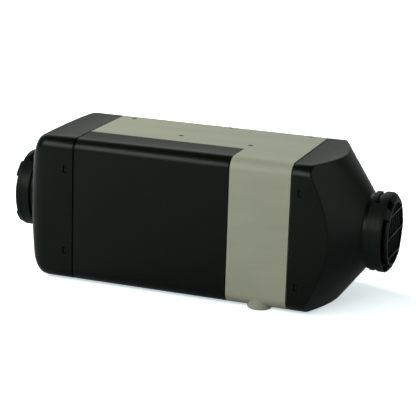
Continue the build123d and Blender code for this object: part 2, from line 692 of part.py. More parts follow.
def jacket_screws():
    """Small screws sunk in the top of the jacket."""
    screws = []
    floor = HALF_HEIGHT - SCREW_SINK
    recess = (floor + SCREW_HEAD / 2, floor + SCREW_HEAD + 1)
    for x, y in screw_places():
        head = bar_z(x, y, SCREW_HEAD_R, floor, floor + SCREW_HEAD)
        for half_x, half_y in ((CROSS_ARM, CROSS_HALF), (CROSS_HALF, CROSS_ARM)):
            head -= block((x - half_x, x + half_x), (y - half_y, y + half_y), recess)
        screws.append(head + bar_z(x, y, SCREW_SHANK_R, floor - SCREW_LENGTH, floor + 0.2))
    return join(screws)


# ---------------------------------------------------------------- fan and motor
def fan_frame():
    """Frame under the inlet cap: spigot for cap and jacket, front plate and fan shroud."""
    x_in = SHROUD_PLATE_X
    frame = sleeve(x_in, CAP_SEAM_X + LIP_REACH + SEAM_GAP, WALL + LIP_GAP, LIP)
    frame = catch_windows(frame, CAP_SEAM_X, -1, CAP_CATCH_Z)
    frame += prism(x_in, x_in + WALL, WALL + LIP_GAP) - disc(x_in - 1, x_in + WALL + 1, SHROUD_R)
    shroud_x = CAP_END_X + WALL + SHROUD_GAP
    frame += ring(shroud_x, MOTOR_X, SHROUD_R + SHROUD_WALL, SHROUD_R)
    return frame


def carrier_x():
    """Front and back of the motor carrier."""
    return (MOTOR_X - CARRIER_LENGTH, MOTOR_X)


def motor_carrier():
    """Ring that the motor seats on, with vanes that press into the fan shroud."""
    x = carrier_x()
    carrier = ring(*x, HUB_RING_R, PILOT_R + PART_GAP)
    half = VANE_THICKNESS / 2
    vane = block(x, (HUB_RING_R - 1, SHROUD_R + 1), (-half, half)) & disc(*x, SHROUD_R)
    for copy in around(vane, VANES, 90):
        carrier += copy
    for hole in motor_screw_bars(SCREW_FIT + UNIT_SCREW_R, *x):
        carrier -= hole
    return carrier


def motor_screw_bars(r, x0, x1):
    bar = Pos(0, (MOTOR_R + HUB_RING_R) / 2 - 5, 0) * disc(x0, x1, r)
    return around(bar, 3, 90)


def motor_screws():
    """Screws through the motor carrier into the motor's front plate."""
    hub_x = carrier_x()[0]
    shanks = motor_screw_bars(UNIT_SCREW_R, hub_x - 0.2, MOTOR_X + MOTOR_FLANGE)
    heads = motor_screw_bars(UNIT_SCREW_R + 1.5, hub_x - 2.0, hub_x)
    return join([shank + head for shank, head in zip(shanks, heads)])


def fan_wheel():
    """Air fan: a domed hub with swept blades."""
    x1 = FAN_X + FAN_LENGTH
    dome_x = FAN_X + FAN_DOME
    inner = FAN_HUB_R - FAN_HUB_WALL
    core_x = x1 - 4
    hub = spin([
        (FAN_X, 0),
        (FAN_X, FAN_CORE_R),
        (FAN_X + FAN_DOME / 4, FAN_HUB_R * 0.75),
        (FAN_X + FAN_DOME * 2 / 3, FAN_HUB_R * 0.95),
        (dome_x, FAN_HUB_R),
        (x1, FAN_HUB_R),
        (x1, inner),
        (dome_x, inner),
        (FAN_X + FAN_DOME * 2 / 3, FAN_CORE_R),
        (core_x, FAN_CORE_R),
        (core_x, 0),
    ])
    middle_x = FAN_X + FAN_LENGTH / 2 + 1
    sections = []
    for radius, pitch in ((FAN_HUB_R - 2, BLADE_ROOT_ANGLE), (SHROUD_R - FAN_TIP_GAP - 0.4, BLADE_TIP_ANGLE)):
        chord = (FAN_LENGTH - 4) / math.cos(math.radians(pitch)) * 0.72
        plane = Plane(origin=(middle_x, 0, radius), x_dir=(1, 0, 0), z_dir=(0, 0, 1))
        sections.append(plane * Rot(0, 0, pitch) * Rectangle(chord, BLADE_THICKNESS))
    blade = loft(sections) & disc(FAN_X, x1, SHROUD_R - FAN_TIP_GAP)
    wheel = hub
    hollow = disc(dome_x, x1 + 1, inner)
    core = disc(FAN_X + FAN_DOME * 2 / 3, core_x, FAN_CORE_R)
    for copy in around(blade, FAN_BLADES):
        wheel += copy - hollow
    wheel += core
    return wheel - disc(FAN_X - 1, x1 + 1, SHAFT_R + SHAFT_FIT)


def motor_shaft():
    shaft = disc(FAN_X - 6, BLOWER_END_X - IMPELLER_GAP, SHAFT_R)
    groove_x = clip_x()
    return shaft - ring(groove_x, groove_x + CLIP_WIDTH + 0.1, SHAFT_R + 1, SHAFT_R - CLIP_GROOVE)


def fan_nut():
    """Hexagon nut that holds the fan wheel on the shaft."""
    nut = extrude(across(FAN_X - 4) * RegularPolygon(5.0, 6), 4)
    return nut - disc(FAN_X - 5, FAN_X + 1, SHAFT_R + SHAFT_FIT)


def bearing_places():
    """Low x of the front and the rear bearing."""
    return (MOTOR_X - PILOT_LENGTH + 1, MOTOR_END_X - MOTOR_FLANGE - BEARING_WIDTH + 1)


def bearing_outer_rings():
    return join([ring(x, x + BEARING_WIDTH, BEARING_R, BEARING_R - BEARING_RING) for x in bearing_places()])


def bearing_inner_rings():
    outer = BEARING_R - BEARING_RING - 2 * (BALL_R + BALL_FIT)
    return join([ring(x, x + BEARING_WIDTH, outer, SHAFT_R + SHAFT_FIT) for x in bearing_places()])


def bearing_balls():
    pitch = BEARING_R - BEARING_RING - BALL_R - BALL_FIT
    balls = []
    for x in bearing_places():
        ball = Pos(x + BEARING_WIDTH / 2, pitch, 0) * Sphere(BALL_R)
        balls += around(ball, BALL_COUNT)
    return join(balls)


def motor_housing():
    """Motor can with the front plate and pilot that carry the front bearing."""
    front_bearing, rear_bearing = bearing_places()
    can = disc(MOTOR_X, MOTOR_END_X - MOTOR_FLANGE, MOTOR_R)
    can -= disc(MOTOR_X + MOTOR_FLANGE, MOTOR_END_X, MOTOR_R - MOTOR_WALL)
    can += disc(MOTOR_X - PILOT_LENGTH, MOTOR_X + MOTOR_FLANGE, PILOT_R)
    can -= disc(front_bearing, MOTOR_END_X, BEARING_R + PIPE_FIT)
    can -= disc(MOTOR_X - FAR, MOTOR_END_X, SHAFT_R + 1)
    for hole in motor_screw_bars(UNIT_SCREW_R + SCREW_FIT, MOTOR_X - 1, MOTOR_X + MOTOR_FLANGE + 1):
        can -= hole
    can -= bar_z(motor_lead_x(), 0, LEAD_R + PART_GAP, MOTOR_R - 5, MOTOR_R + 5)
    return can


def motor_lead_x():
    return (MOTOR_X + MOTOR_END_X) / 2 + STATOR_LENGTH / 2 + WINDING_LENGTH / 2


def motor_end_plate():
    """Rear plate of the motor, with the rear bearing's seat."""
    rear_bearing = bearing_places()[1]
    x0 = MOTOR_END_X - MOTOR_FLANGE
    plate = disc(x0, MOTOR_END_X, MOTOR_R)
    plate += disc(rear_bearing, x0 + 1, BEARING_R + 2)
    plate -= disc(rear_bearing - 1, rear_bearing + BEARING_WIDTH, BEARING_R + PIPE_FIT)
    return plate - disc(rear_bearing - 1, MOTOR_END_X + 1, SHAFT_R + 1)


def stator_span():
    middle = (MOTOR_X + MOTOR_END_X) / 2
    return (middle - STATOR_LENGTH / 2, middle + STATOR_LENGTH / 2)


def rotor_magnet():
    x0, x1 = stator_span()
    return ring(x0 - 1, x1 + 1, MAGNET_R, SHAFT_R + SHAFT_FIT)


def stator_core():
    """Laminated ring with teeth that face the magnet."""
    x0, x1 = stator_span()
    core = ring(x0, x1, MOTOR_R - MOTOR_WALL - PIPE_FIT, MAGNET_R + AIR_GAP)
    slot = block((x0 - 1, x1 + 1), (MAGNET_R + AIR_GAP + 2, MOTOR_R - MOTOR_WALL - 4), (-3.0, 3.0))
    mouth = block((x0 - 1, x1 + 1), (MAGNET_R - 1, MAGNET_R + AIR_GAP + 3), (-1.0, 1.0))
    for cut in around(slot + mouth, 6):
        core -= cut
    return core


def stator_windings():
    """End turns of the winding, a ring at each end of the core."""
    x0, x1 = stator_span()
    outer = MOTOR_R - MOTOR_WALL - 3
    inner = MAGNET_R + AIR_GAP + 1.5
    front = ring(x0 - WINDING_LENGTH, x0, outer, inner)
    return front + ring(x1, x1 + WINDING_LENGTH, outer, inner)


# ---------------------------------------------------------------- combustion air blower
def clamp_bolt_bars(r, x0, x1):
    bar = Pos(0, BOLT_CIRCLE_R, 0) * disc(x0, x1, r)
    return around(bar, 4, BOLT_START)


def blower_housing():
    """Cast housing of the combustion air blower, with its port and the control unit's lugs."""
    x0 = MOTOR_END_X
    x1 = BLOWER_END_X
    housing = disc(x0, x1, HOUSING_R)
    housing += bar_y(AIR_PORT_X, 0, PORT_BOSS_R, CHAMBER_R, FLANGE_BACK_Y)
    lug = block(lug_x(), (LUG_TOP_Y, LUG_TOP_Y + CHAMBER_R), (HOUSING_R - 14, UNIT_EAR_Z + LUG_BEYOND_SCREW))
    for copy in both_sides(lug):
        housing += copy
    housing -= disc(x0 + BLOWER_FLOOR, x1 + 1, CHAMBER_R)
    housing -= disc(x0 - 1, x1, SHAFT_R + 1)
    root = AIR_PIPE_R - PIPE_ROOT + PIPE_FIT
    housing -= bar_y(AIR_PORT_X, 0, root, CHAMBER_R / 2, FLANGE_Y)
    for hole in clamp_bolt_bars(BOLT_R + SCREW_FIT, x1 - 12, x1 + 1):
        housing -= hole
    for z in (-UNIT_EAR_Z, UNIT_EAR_Z):
        housing -= bar_y(AIR_PORT_X, z, UNIT_SCREW_R + SCREW_FIT, LUG_TOP_Y - 1, LUG_TOP_Y + 12)
    return housing


def lug_x():
    return (AIR_PORT_X - LUG_HALF_WIDTH, AIR_PORT_X + LUG_HALF_WIDTH)


def impeller_span():
    x1 = BLOWER_END_X - IMPELLER_GAP
    return (x1 - IMPELLER_WIDTH, x1)


def clip_x():
    """Low side of the groove, just beyond the impeller's hub."""
    return impeller_span()[0] + IMPELLER_HUB + 0.1


def blower_wheel():
    """Impeller of the combustion air blower, with pockets between its rim vanes."""
    x0, x1 = impeller_span()
    wheel = disc(x0, x1, IMPELLER_R)
    pocket = block((x0 + 3, x1 + 1), (IMPELLER_R - 11, IMPELLER_R - 1.5), (-3.0, 3.0))
    for cut in around(pocket, IMPELLER_VANES):
        wheel -= cut
    wheel -= ring(x0 + IMPELLER_WEB, x1 + 1, IMPELLER_R - 14, SHAFT_R + 6)
    wheel -= disc(x0 + IMPELLER_HUB, x1 + 1, SHAFT_R + 7)
    return wheel - disc(x0 - 1, x1 + 1, SHAFT_R + SHAFT_FIT)


def shaft_clip():
    """Retaining ring that keeps the impeller on the shaft."""
    x0 = clip_x() + 0.05
    clip = ring(x0, x0 + CLIP_WIDTH, SHAFT_R + 2.4, SHAFT_R - CLIP_GROOVE + 0.05)
    return clip - block((x0 - 1, x0 + CLIP_WIDTH + 1), (0, SHAFT_R + 4), (-1.8, 1.8))


def blower_cover():
    """Plate with the side channel that closes the blower towards the burner."""
    x0 = BLOWER_END_X
    cover = disc(x0, x0 + BLOWER_COVER, HOUSING_R)
    channel_r = IMPELLER_R - CHANNEL_INSET
    cover -= ring(x0 - 1, x0 + CHANNEL_DEPTH, channel_r, channel_r - CHANNEL_WIDTH)
    cover -= transfer_hole(x0, x0 + BLOWER_COVER)
    for hole in clamp_bolt_bars(BOLT_R + SCREW_FIT, x0 - 1, x0 + BLOWER_COVER + 1):
        cover -= hole
    return cover


def transfer_hole(x0, x1):
    """Hole below the axis through which the blower's air goes on."""
    return Pos(0, 0, -TRANSFER_Z) * disc(x0 - 1, x1 + 1, TRANSFER_R)


# ---------------------------------------------------------------- burner and heat exchanger
def flat_gasket(x):
    gasket = ring(x, x + GASKET, HOUSING_R, COMBUSTOR_R + 4)
    for hole in clamp_bolt_bars(BOLT_R + SCREW_FIT, x - 1, x + GASKET + 1):
        gasket -= hole
    return gasket


def blower_gasket():
    return flat_gasket(BURNER_X - GASKET)


def exchanger_gasket():
    return flat_gasket(EXCHANGER_X - GASKET)


def burner():
    """Burner: a flange with the fuel inlet, and the perforated combustion tube."""
    x0 = BURNER_X
    x1 = x0 + BURNER_FLANGE
    tube_x = x1 + COMBUSTOR_LENGTH
    body = disc(x0, x1, HOUSING_R)
    body += ring(x1 - 1, tube_x, COMBUSTOR_R, COMBUSTOR_R - COMBUSTOR_WALL)
    body -= bar_y(fuel_x(), FUEL_Z, FUEL_R + SCREW_FIT, 0, HOUSING_R)
    body -= transfer_hole(x0 - 1, x0 + BURNER_FLANGE / 2)
    hole = bar_z(x1 + COMBUSTOR_HOLES_FROM, 0, COMBUSTOR_HOLE_R, COMBUSTOR_R - 5, COMBUSTOR_R + 5)
    for row in range(2):
        start = (row + 0.5) * 180 / COMBUSTOR_HOLES
        for copy in around(Pos(row * COMBUSTOR_ROW_PITCH, 0, 0) * hole, COMBUSTOR_HOLES, start):
            body -= copy
    for port in clamp_bolt_bars(BOLT_R + SCREW_FIT, x0 - 1, x1 + 1):
        body -= port
    body -= front_angle(PLUG_ANGLE, glow_plug_bar(PLUG_R + PART_GAP))
    return body


def fuel_x():
    return BURNER_X + BURNER_FLANGE / 2


def wick():
    """Evaporator mat against the burner's flange."""
    x0 = BURNER_X + BURNER_FLANGE
    return disc(x0, x0 + WICK, COMBUSTOR_R - COMBUSTOR_WALL - PART_GAP)


def glow_plug_bar(r):
    """Bar along the glow plug's line, drawn at the front."""
    return bar_y(PLUG_X, 0, r, -PLUG_LENGTH, -COMBUSTOR_R + 8)


def glow_plug():
    """Glow plug: heater tip, threaded body, hexagon and terminal."""
    tip = bar_y(PLUG_X, 0, PLUG_R - 2.5, -EXCHANGER_R, -COMBUSTOR_R + 8)
    body = bar_y(PLUG_X, 0, PLUG_R, -FIN_R - 1, -COMBUSTOR_R - 3)
    hexagon = Plane(origin=(PLUG_X, -FIN_R - 6, 0), x_dir=(1, 0, 0), z_dir=(0, 1, 0))
    head = extrude(hexagon * RegularPolygon(PLUG_R + 2.5, 6), 5)
    terminal = bar_y(PLUG_X, 0, 2.0, -PLUG_LENGTH, -FIN_R - 5)
    return front_angle(PLUG_ANGLE, tip + body + head + terminal)


def flame_tube():
    """Tube that carries the flame down the heat exchanger, sleeved over the burner."""
    inner = COMBUSTOR_R + PART_GAP
    x0 = BURNER_X + BURNER_FLANGE + COMBUSTOR_LENGTH - FLAME_TUBE_LAP
    tube = ring(x0, x0 + FLAME_TUBE_LENGTH, inner + FLAME_TUBE_WALL, inner)
    reach = (inner + 1, EXCHANGER_INNER_R - PIPE_FIT)
    end = x0 + FLAME_TUBE_LENGTH
    for x, start in (((end - SPACER_LENGTH, end), 90), ((x0 + 2, x0 + SPACER_LENGTH), 30)):
        for copy in around(block(x, reach, (-SPACER / 2, SPACER / 2)), 3, start):
            tube += copy
    return tube


def heat_exchanger():
    """Cast heat exchanger: closed drum with long fins, exhaust boss, plug boss and screw posts."""
    x0 = EXCHANGER_X
    x1 = EXCHANGER_END_X
    inner = EXCHANGER_INNER_R
    body = spin([
        (x0, 0),
        (x0, HOUSING_R),
        (x0 + EXCHANGER_FLANGE, HOUSING_R),
        (x0 + EXCHANGER_FLANGE, EXCHANGER_R),
        (x1 - 12, EXCHANGER_R),
        (x1 - 3, EXCHANGER_R - 10),
        (x1, EXCHANGER_R - 24),
        (x1, 0),
    ])
    for copy in around(exchanger_fin(), FIN_COUNT, 180 / FIN_COUNT):
        body += copy
    body += bar_y(EXHAUST_X, 0, PORT_BOSS_R, inner + 2, FLANGE_BACK_Y)
    plug_boss = bar_y(PLUG_X, 0, PLUG_BOSS_R, -FIN_R - 1, -inner)
    body += front_angle(PLUG_ANGLE, plug_boss)
    for x, y in POST_SCREWS:
        body += bar_z(x, y, SCREW_POST_R, EXCHANGER_R - 6, HALF_HEIGHT - WALL)
    half = SENSOR_PAD / 2
    body += block((SENSOR_X - half, SENSOR_X + half), (SENSOR_Y, -EXCHANGER_R + 2), (-half, half))
    end_x = x1 - EXCHANGER_END
    body -= spin([(x0 - 1, 0), (x0 - 1, inner), (x1 - 14, inner), (end_x, inner - 10), (end_x, 0)])
    body -= bar_y(EXHAUST_X, 0, EXHAUST_R - PIPE_ROOT + PIPE_FIT, inner - 8, FLANGE_Y)
    plug_hole = bar_y(PLUG_X, 0, PLUG_R + PIPE_FIT, -FIN_R - 2, -inner + 8)
    body -= front_angle(PLUG_ANGLE, plug_hole)
    for x, y in POST_SCREWS:
        body -= bar_z(x, y, SCREW_SHANK_R + SCREW_FIT, HALF_HEIGHT - WALL - SCREW_LENGTH - 2, HALF_HEIGHT)
    head_x = x0 + EXCHANGER_FLANGE
    for hole in clamp_bolt_bars(BOLT_R + SCREW_FIT, x0 - 1, head_x + 1):
        body -= hole
    for cut in clamp_bolt_bars(BOLT_HEAD_R + 1, head_x, head_x + BOLT_HEAD + 2):
        body -= cut - disc(x0, x1, EXCHANGER_R)
    return body


def exchanger_fin():
    """One long fin with its sloped outlet end, drawn at the back."""
    x0 = EXCHANGER_X + FIN_START
    x1 = EXCHANGER_END_X - FIN_END
    root = EXCHANGER_R - 2
    profile = Polyline(
        (x0, root), (x0, FIN_R), (x1 - FIN_TAPER, FIN_R), (x1, FIN_R - FIN_DROP), (x1, root), close=True
    )
    return extrude(make_face(profile), FIN / 2, both=True)


def clamp_bolts():
    """Bolts that clamp exchanger, burner and blower together."""
    x1 = EXCHANGER_X + EXCHANGER_FLANGE
    shanks = clamp_bolt_bars(BOLT_R, BLOWER_END_X - 10, x1 + 0.2)
    heads = clamp_bolt_bars(BOLT_HEAD_R, x1, x1 + BOLT_HEAD)
    socket = clamp_bolt_bars(BOLT_SOCKET_R, x1 + BOLT_HEAD / 2, x1 + BOLT_HEAD + 1)
    return join([shank + head - hole for shank, head, hole in zip(shanks, heads, socket)])


def overheat_sensor():
    top = SENSOR_Y - SENSOR_HEIGHT
    body = bar_y(SENSOR_X, 0, SENSOR_R, top, SENSOR_Y)
    return body + block((SENSOR_X - SENSOR_R - SENSOR_NECK, SENSOR_X - 2), (top, SENSOR_Y - 1), (-3, 3))


def sensor_clip():
    """Spring strap that presses the sensor on its pad."""
    y1 = SENSOR_Y - SENSOR_HEIGHT
    y0 = y1 - STRAP_THICKNESS
    inside = SENSOR_PAD / 2
    outside = inside + STRAP_THICKNESS
    x = (SENSOR_X - STRAP_HALF_WIDTH, SENSOR_X + STRAP_HALF_WIDTH)
    strap = block(x, (y0, y1), (-outside, outside))
    for z in ((-outside, -inside), (inside, outside)):
        strap += block(x, (y0, SENSOR_Y + STRAP_GRIP), z)
    return strap


# ---------------------------------------------------------------- mounting flange and pipes
def flange_outline(inset):
    plane = Plane(origin=(0, 0, 0), x_dir=(1, 0, 0), z_dir=(0, 1, 0))
    length = FLANGE_LENGTH - 2 * inset
    height = FLANGE_HEIGHT - 2 * inset
    return plane * RectangleRounded(length, height, FLANGE_CORNER - inset)


def stud_places():
    half_x = STUD_SPACING_X / 2
    half_z = STUD_SPACING_Z / 2
    return [(x, z) for x in (-half_x, half_x) for z in (-half_z, half_z)]


def flange_holes(extra, stud_hole_r, y0, y1):
    holes = bar_y(EXHAUST_X, 0, EXHAUST_R + extra, y0, y1)
    holes += bar_y(AIR_PORT_X, 0, AIR_PIPE_R + extra, y0, y1)
    holes += bar_y(0, FUEL_Z, FUEL_NIPPLE_R + extra, y0, y1)
    for x, z in stud_places():
        holes += bar_y(x, z, stud_hole_r, y0, y1)
    return holes


def base_flange():
    """Mounting flange between the ports' bosses and the vehicle's panel."""
    plate = Pos(0, FLANGE_BACK_Y, 0) * extrude(flange_outline(0), FLANGE_THICKNESS)
    stud_hole_r = STUD_R + STUD_ROOT + PIPE_FIT
    return plate - flange_holes(PIPE_FIT - PIPE_ROOT, stud_hole_r, FLANGE_BACK_Y - 1, FLANGE_Y + 1)


def base_gasket():
    """Rubber gasket, its corners cut in round the studs."""
    gasket = Pos(0, FLANGE_Y, 0) * extrude(flange_outline(1), SEAL)
    return gasket - flange_holes(PART_GAP, STUD_SCALLOP_R, FLANGE_Y - 1, SEAL_Y + 1)


def mounting_studs():
    """Four studs: a thicker root pressed into the flange, then the thread."""
    root_end = FLANGE_Y + PIPE_ROOT
    studs = []
    for x, z in stud_places():
        root = bar_y(x, z, STUD_R + STUD_ROOT, FLANGE_BACK_Y, root_end)
        studs.append(root + bar_y(x, z, STUD_R, root_end - 1, SEAL_Y + STUD_LENGTH))
    return join(studs)


def stub_pipe(x, r):
    """Pipe stub: a slightly smaller root in the casting, then the free length for a hose."""
    root_end = SEAL_Y + PIPE_ROOT
    pipe = bar_y(x, 0, r - PIPE_ROOT, SEAL_Y - PIPE_DEPTH, root_end + 1)
    pipe += bar_y(x, 0, r, root_end, SEAL_Y + PIPE_LENGTH)
    return pipe - bar_y(x, 0, r - PIPE_WALL, SEAL_Y - PIPE_DEPTH - 1, SEAL_Y + PIPE_LENGTH + 1)


def exhaust_pipe():
    return stub_pipe(EXHAUST_X, EXHAUST_R)


def combustion_air_pipe():
    return stub_pipe(AIR_PORT_X, AIR_PIPE_R)


def fuel_pipe():
    """Thin pipe from the flange round to the burner, with a nipple for the hose."""
    root_end = SEAL_Y + PIPE_ROOT
    rim_y = math.sqrt(HOUSING_R**2 - FUEL_Z**2)
    turn_y = FLANGE_BACK_Y - FUEL_UNDER_FLANGE
    points = [
        (0, root_end + 1, FUEL_Z),
        (0, turn_y, FUEL_Z),
        (fuel_x(), turn_y, FUEL_Z),
        (fuel_x(), rim_y - FUEL_INSERT, FUEL_Z),
    ]
    path = FilletPolyline(*points, radius=FUEL_BEND)
    start = Plane(origin=path @ 0, z_dir=path % 0)
    tube = sweep(start * Circle(FUEL_R), path)
    bore = sweep(start * Circle(FUEL_R - FUEL_WALL), path)
    nipple = bar_y(0, FUEL_Z, FUEL_NIPPLE_R, root_end, SEAL_Y + FUEL_LENGTH)
    nipple -= bar_y(0, FUEL_Z, FUEL_R - FUEL_WALL, root_end - 1, SEAL_Y + FUEL_LENGTH + 1)
    return tube - bore + nipple


# ---------------------------------------------------------------- controls and leads
def control_plate():
    """Metal plate that carries the control unit on the blower housing's lugs."""
    y = (UNIT_BACK_Y, LUG_TOP_Y)
    x = (UNIT_X[0] + PLATE_INSET, UNIT_X[1] - PLATE_INSET)
    plate = block(x, y, (-UNIT_HALF_HEIGHT, UNIT_HALF_HEIGHT))
    ear = block(lug_x(), y, (UNIT_HALF_HEIGHT - 1, UNIT_EAR_Z + LUG_BEYOND_SCREW))
    for copy in both_sides(ear):
        plate += copy
    for z in (-UNIT_EAR_Z, UNIT_EAR_Z):
        plate -= bar_y(AIR_PORT_X, z, UNIT_SCREW_R + SCREW_FIT, UNIT_BACK_Y - 1, LUG_TOP_Y + 1)
    return plate


def control_unit():
    """Electronics box with low ribs on its front."""
    box = block(UNIT_X, (UNIT_FRONT_Y, UNIT_BACK_Y), (-UNIT_HALF_HEIGHT, UNIT_HALF_HEIGHT))
    box = fillet(box.edges().filter_by(Axis.Y), UNIT_CORNER)
    rib_x = UNIT_X[0] + 2 * PLATE_INSET
    rib_y = (UNIT_FRONT_Y - UNIT_RIB_HEIGHT, UNIT_FRONT_Y + 1)
    for i in range(UNIT_RIBS):
        z = (i - (UNIT_RIBS - 1) / 2) * UNIT_RIB_PITCH
        box += block((rib_x, rib_x + UNIT_RIB_LENGTH), rib_y, (z - UNIT_RIB / 2, z + UNIT_RIB / 2))
    return box


def control_screws():
    screws = []
    for z in (-UNIT_EAR_Z, UNIT_EAR_Z):
        shank = bar_y(AIR_PORT_X, z, UNIT_SCREW_R, UNIT_BACK_Y - 0.2, LUG_TOP_Y + 9)
        head = bar_y(AIR_PORT_X, z, UNIT_SCREW_R + 1.8, UNIT_BACK_Y - 2.6, UNIT_BACK_Y)
        screws.append(shank + head)
    return join(screws)


def connector(z):
    """Plug on the control unit's end, its middle at height z."""
    length, depth, height = PLUG_BLOCK
    x0 = UNIT_X[1]
    y = connector_end()[1]
    body = block((x0, x0 + length), (y - depth / 2, y + depth / 2), (z - height / 2, z + height / 2))
    latch_y = (y - depth / 2 - LATCH_HEIGHT, y)
    return body + block((x0, x0 + length / 2), latch_y, (z - LATCH_HALF_WIDTH, z + LATCH_HALF_WIDTH))


def connector_end():
    """Point in the middle of a plug's outer end: (x, y)."""
    return UNIT_X[1] + PLUG_BLOCK[0], (UNIT_FRONT_Y + UNIT_BACK_Y) / 2


def main_connector():
    return connector(MAIN_PLUG_Z)


def signal_connector():
    return connector(SIGNAL_PLUG_Z)


def harness_lead():
    """Main harness: down in front of the exchanger, under it and out through the grommet."""
    x, y = connector_end()
    loop_x = x + 42
    low_z = -HALF_HEIGHT + WALL + 6.5
    points = [
        (x, y, MAIN_PLUG_Z),
        (loop_x, y, MAIN_PLUG_Z),
        (loop_x, y, low_z),
        (loop_x, 8, low_z),
        (-40, 8, low_z),
        (GROMMET_X, 20, GROMMET_Z),
        (GROMMET_X, HALF_DEPTH - 2 * WALL - 1, GROMMET_Z),
    ]
    return lead("harness_lead", points, HARNESS_R)


def motor_lead():
    """From the motor's windings over to the control unit's upper end."""
    x = motor_lead_x()
    y = connector_end()[1]
    high_z = HALF_HEIGHT - WALL - 7.5
    points = [(x, 0, MOTOR_R - MOTOR_WALL), (x, 0, high_z), (x, y, high_z), (x, y, UNIT_HALF_HEIGHT)]
    return lead("motor_lead", points, LEAD_R)


def glow_plug_lead():
    """Out of the plug, along the upper front edge and back to the signal plug."""
    x, y = connector_end()
    reach = PLUG_LENGTH * math.cos(math.radians(PLUG_ANGLE))
    out = min(HALF_DEPTH - WALL - 7.5, HALF_HEIGHT - WALL - 12.5)
    loop_x = PLUG_X + 32
    z = SIGNAL_PLUG_Z + PLUG_LEAD_OFFSET
    points = [(PLUG_X, -reach, reach), (PLUG_X, -out, out), (loop_x, y, out - 1), (loop_x, y, z), (x, y, z)]
    return lead("glow_plug_lead", points, LEAD_R)


def sensor_lead():
    x, y = connector_end()
    boot_y = SENSOR_Y - (SENSOR_HEIGHT + 1) / 2
    z = SIGNAL_PLUG_Z - PLUG_LEAD_OFFSET
    points = [
        (x, y, z),
        (x + 28, y, z),
        (SENSOR_X - 38, boot_y, 0),
        (SENSOR_X - SENSOR_R - SENSOR_NECK, boot_y, 0),
    ]
    return lead("sensor_lead", points, LEAD_R)


def harness_grommet():
    """Rubber grommet in the back panel where the harness leaves."""
    y0 = HALF_DEPTH - 2 * WALL
    neck = GROMMET_R - WALL - PIPE_FIT
    body = bar_y(GROMMET_X, GROMMET_Z, neck, y0, HALF_DEPTH)
    body += bar_y(GROMMET_X, GROMMET_Z, GROMMET_R, HALF_DEPTH, HALF_DEPTH + GROMMET_LIP)
    body += bar_y(GROMMET_X, GROMMET_Z, GROMMET_R, y0 - GROMMET_LIP, y0)
    return body - bar_y(GROMMET_X, GROMMET_Z, HARNESS_R + PART_GAP, y0 - FAR, HALF_DEPTH + FAR)


PIECES = [
    jacket_shell, jacket_back, control_cover, intake_cap, outlet_hood, intake_guard, outlet_guard,
    jacket_screws, fan_frame, motor_carrier, fan_wheel, fan_nut, motor_screws, motor_shaft, motor_housing,
    motor_end_plate, bearing_outer_rings, bearing_inner_rings, bearing_balls, rotor_magnet,
    stator_core, stator_windings, blower_housing, blower_wheel, shaft_clip, blower_cover,
    blower_gasket, burner, wick, glow_plug, flame_tube, exchanger_gasket, heat_exchanger,
    clamp_bolts, overheat_sensor, sensor_clip, base_flange, base_gasket, mounting_studs,
    exhaust_pipe, combustion_air_pipe, fuel_pipe, control_plate, control_unit, control_screws,
    main_connector, signal_connector, harness_lead, motor_lead, glow_plug_lead, sensor_lead,
    harness_grommet,
]

os.makedirs("parts", exist_ok=True)
for make in PIECES:
    save(make.__name__, make())
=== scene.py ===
import json
import math

import bmesh
import bpy
from mathutils import Matrix, Vector


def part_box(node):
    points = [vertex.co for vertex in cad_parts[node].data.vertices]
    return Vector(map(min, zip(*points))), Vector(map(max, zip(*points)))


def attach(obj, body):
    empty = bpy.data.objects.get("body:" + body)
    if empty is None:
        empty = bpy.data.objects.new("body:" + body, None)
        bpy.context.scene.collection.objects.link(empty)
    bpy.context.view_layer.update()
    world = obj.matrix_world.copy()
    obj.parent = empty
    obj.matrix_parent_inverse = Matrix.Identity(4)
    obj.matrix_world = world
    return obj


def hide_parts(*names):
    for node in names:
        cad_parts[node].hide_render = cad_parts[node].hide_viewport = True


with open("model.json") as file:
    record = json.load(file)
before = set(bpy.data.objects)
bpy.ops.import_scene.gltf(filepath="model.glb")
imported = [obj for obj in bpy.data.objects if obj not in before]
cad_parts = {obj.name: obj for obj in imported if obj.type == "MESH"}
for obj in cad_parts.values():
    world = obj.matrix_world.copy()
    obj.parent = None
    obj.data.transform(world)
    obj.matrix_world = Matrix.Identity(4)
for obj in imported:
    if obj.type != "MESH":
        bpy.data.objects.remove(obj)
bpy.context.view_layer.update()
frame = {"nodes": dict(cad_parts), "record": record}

bl_info = {
    "name": "Diesel air heater",
    "version": (1, 0, 0),
    "blender": (4, 5, 0),
    "location": "3D View > Sidebar > Heater",
    "description": "Dresses the packed frame of a box-shaped diesel air heater",
    "category": "Object",
}

MM = 0.001
HEATER = "heater"
ROTOR = "rotor"
COVER = "cover"

# Places taken from the frame
HOOD_LOW, HOOD_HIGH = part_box("outlet_hood")
CAP_LOW, CAP_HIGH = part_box("intake_cap")
COVER_LOW, COVER_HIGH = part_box("control_cover")
JACKET_LOW, JACKET_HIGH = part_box("jacket_shell")
OUTLET_LOW, OUTLET_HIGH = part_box("outlet_guard")
INLET_LOW, INLET_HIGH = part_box("intake_guard")
SCREWS_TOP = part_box("jacket_screws")[1].z
STUDS_LOW, STUDS_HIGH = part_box("mounting_studs")
FAN_LOW, FAN_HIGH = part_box("fan_wheel")
AXIS_Y = (HOOD_LOW.y + HOOD_HIGH.y) / 2
HALF_DEPTH = (HOOD_HIGH.y - HOOD_LOW.y) / 2
HALF_HEIGHT = (HOOD_HIGH.z - HOOD_LOW.z) / 2
SMALLEST_CORNER = 1.0 * MM
FLOOR_GAP = 0.05 * MM  # so that the floor and the feet share no plane
FLOOR_Z = JACKET_LOW.z - FLOOR_GAP
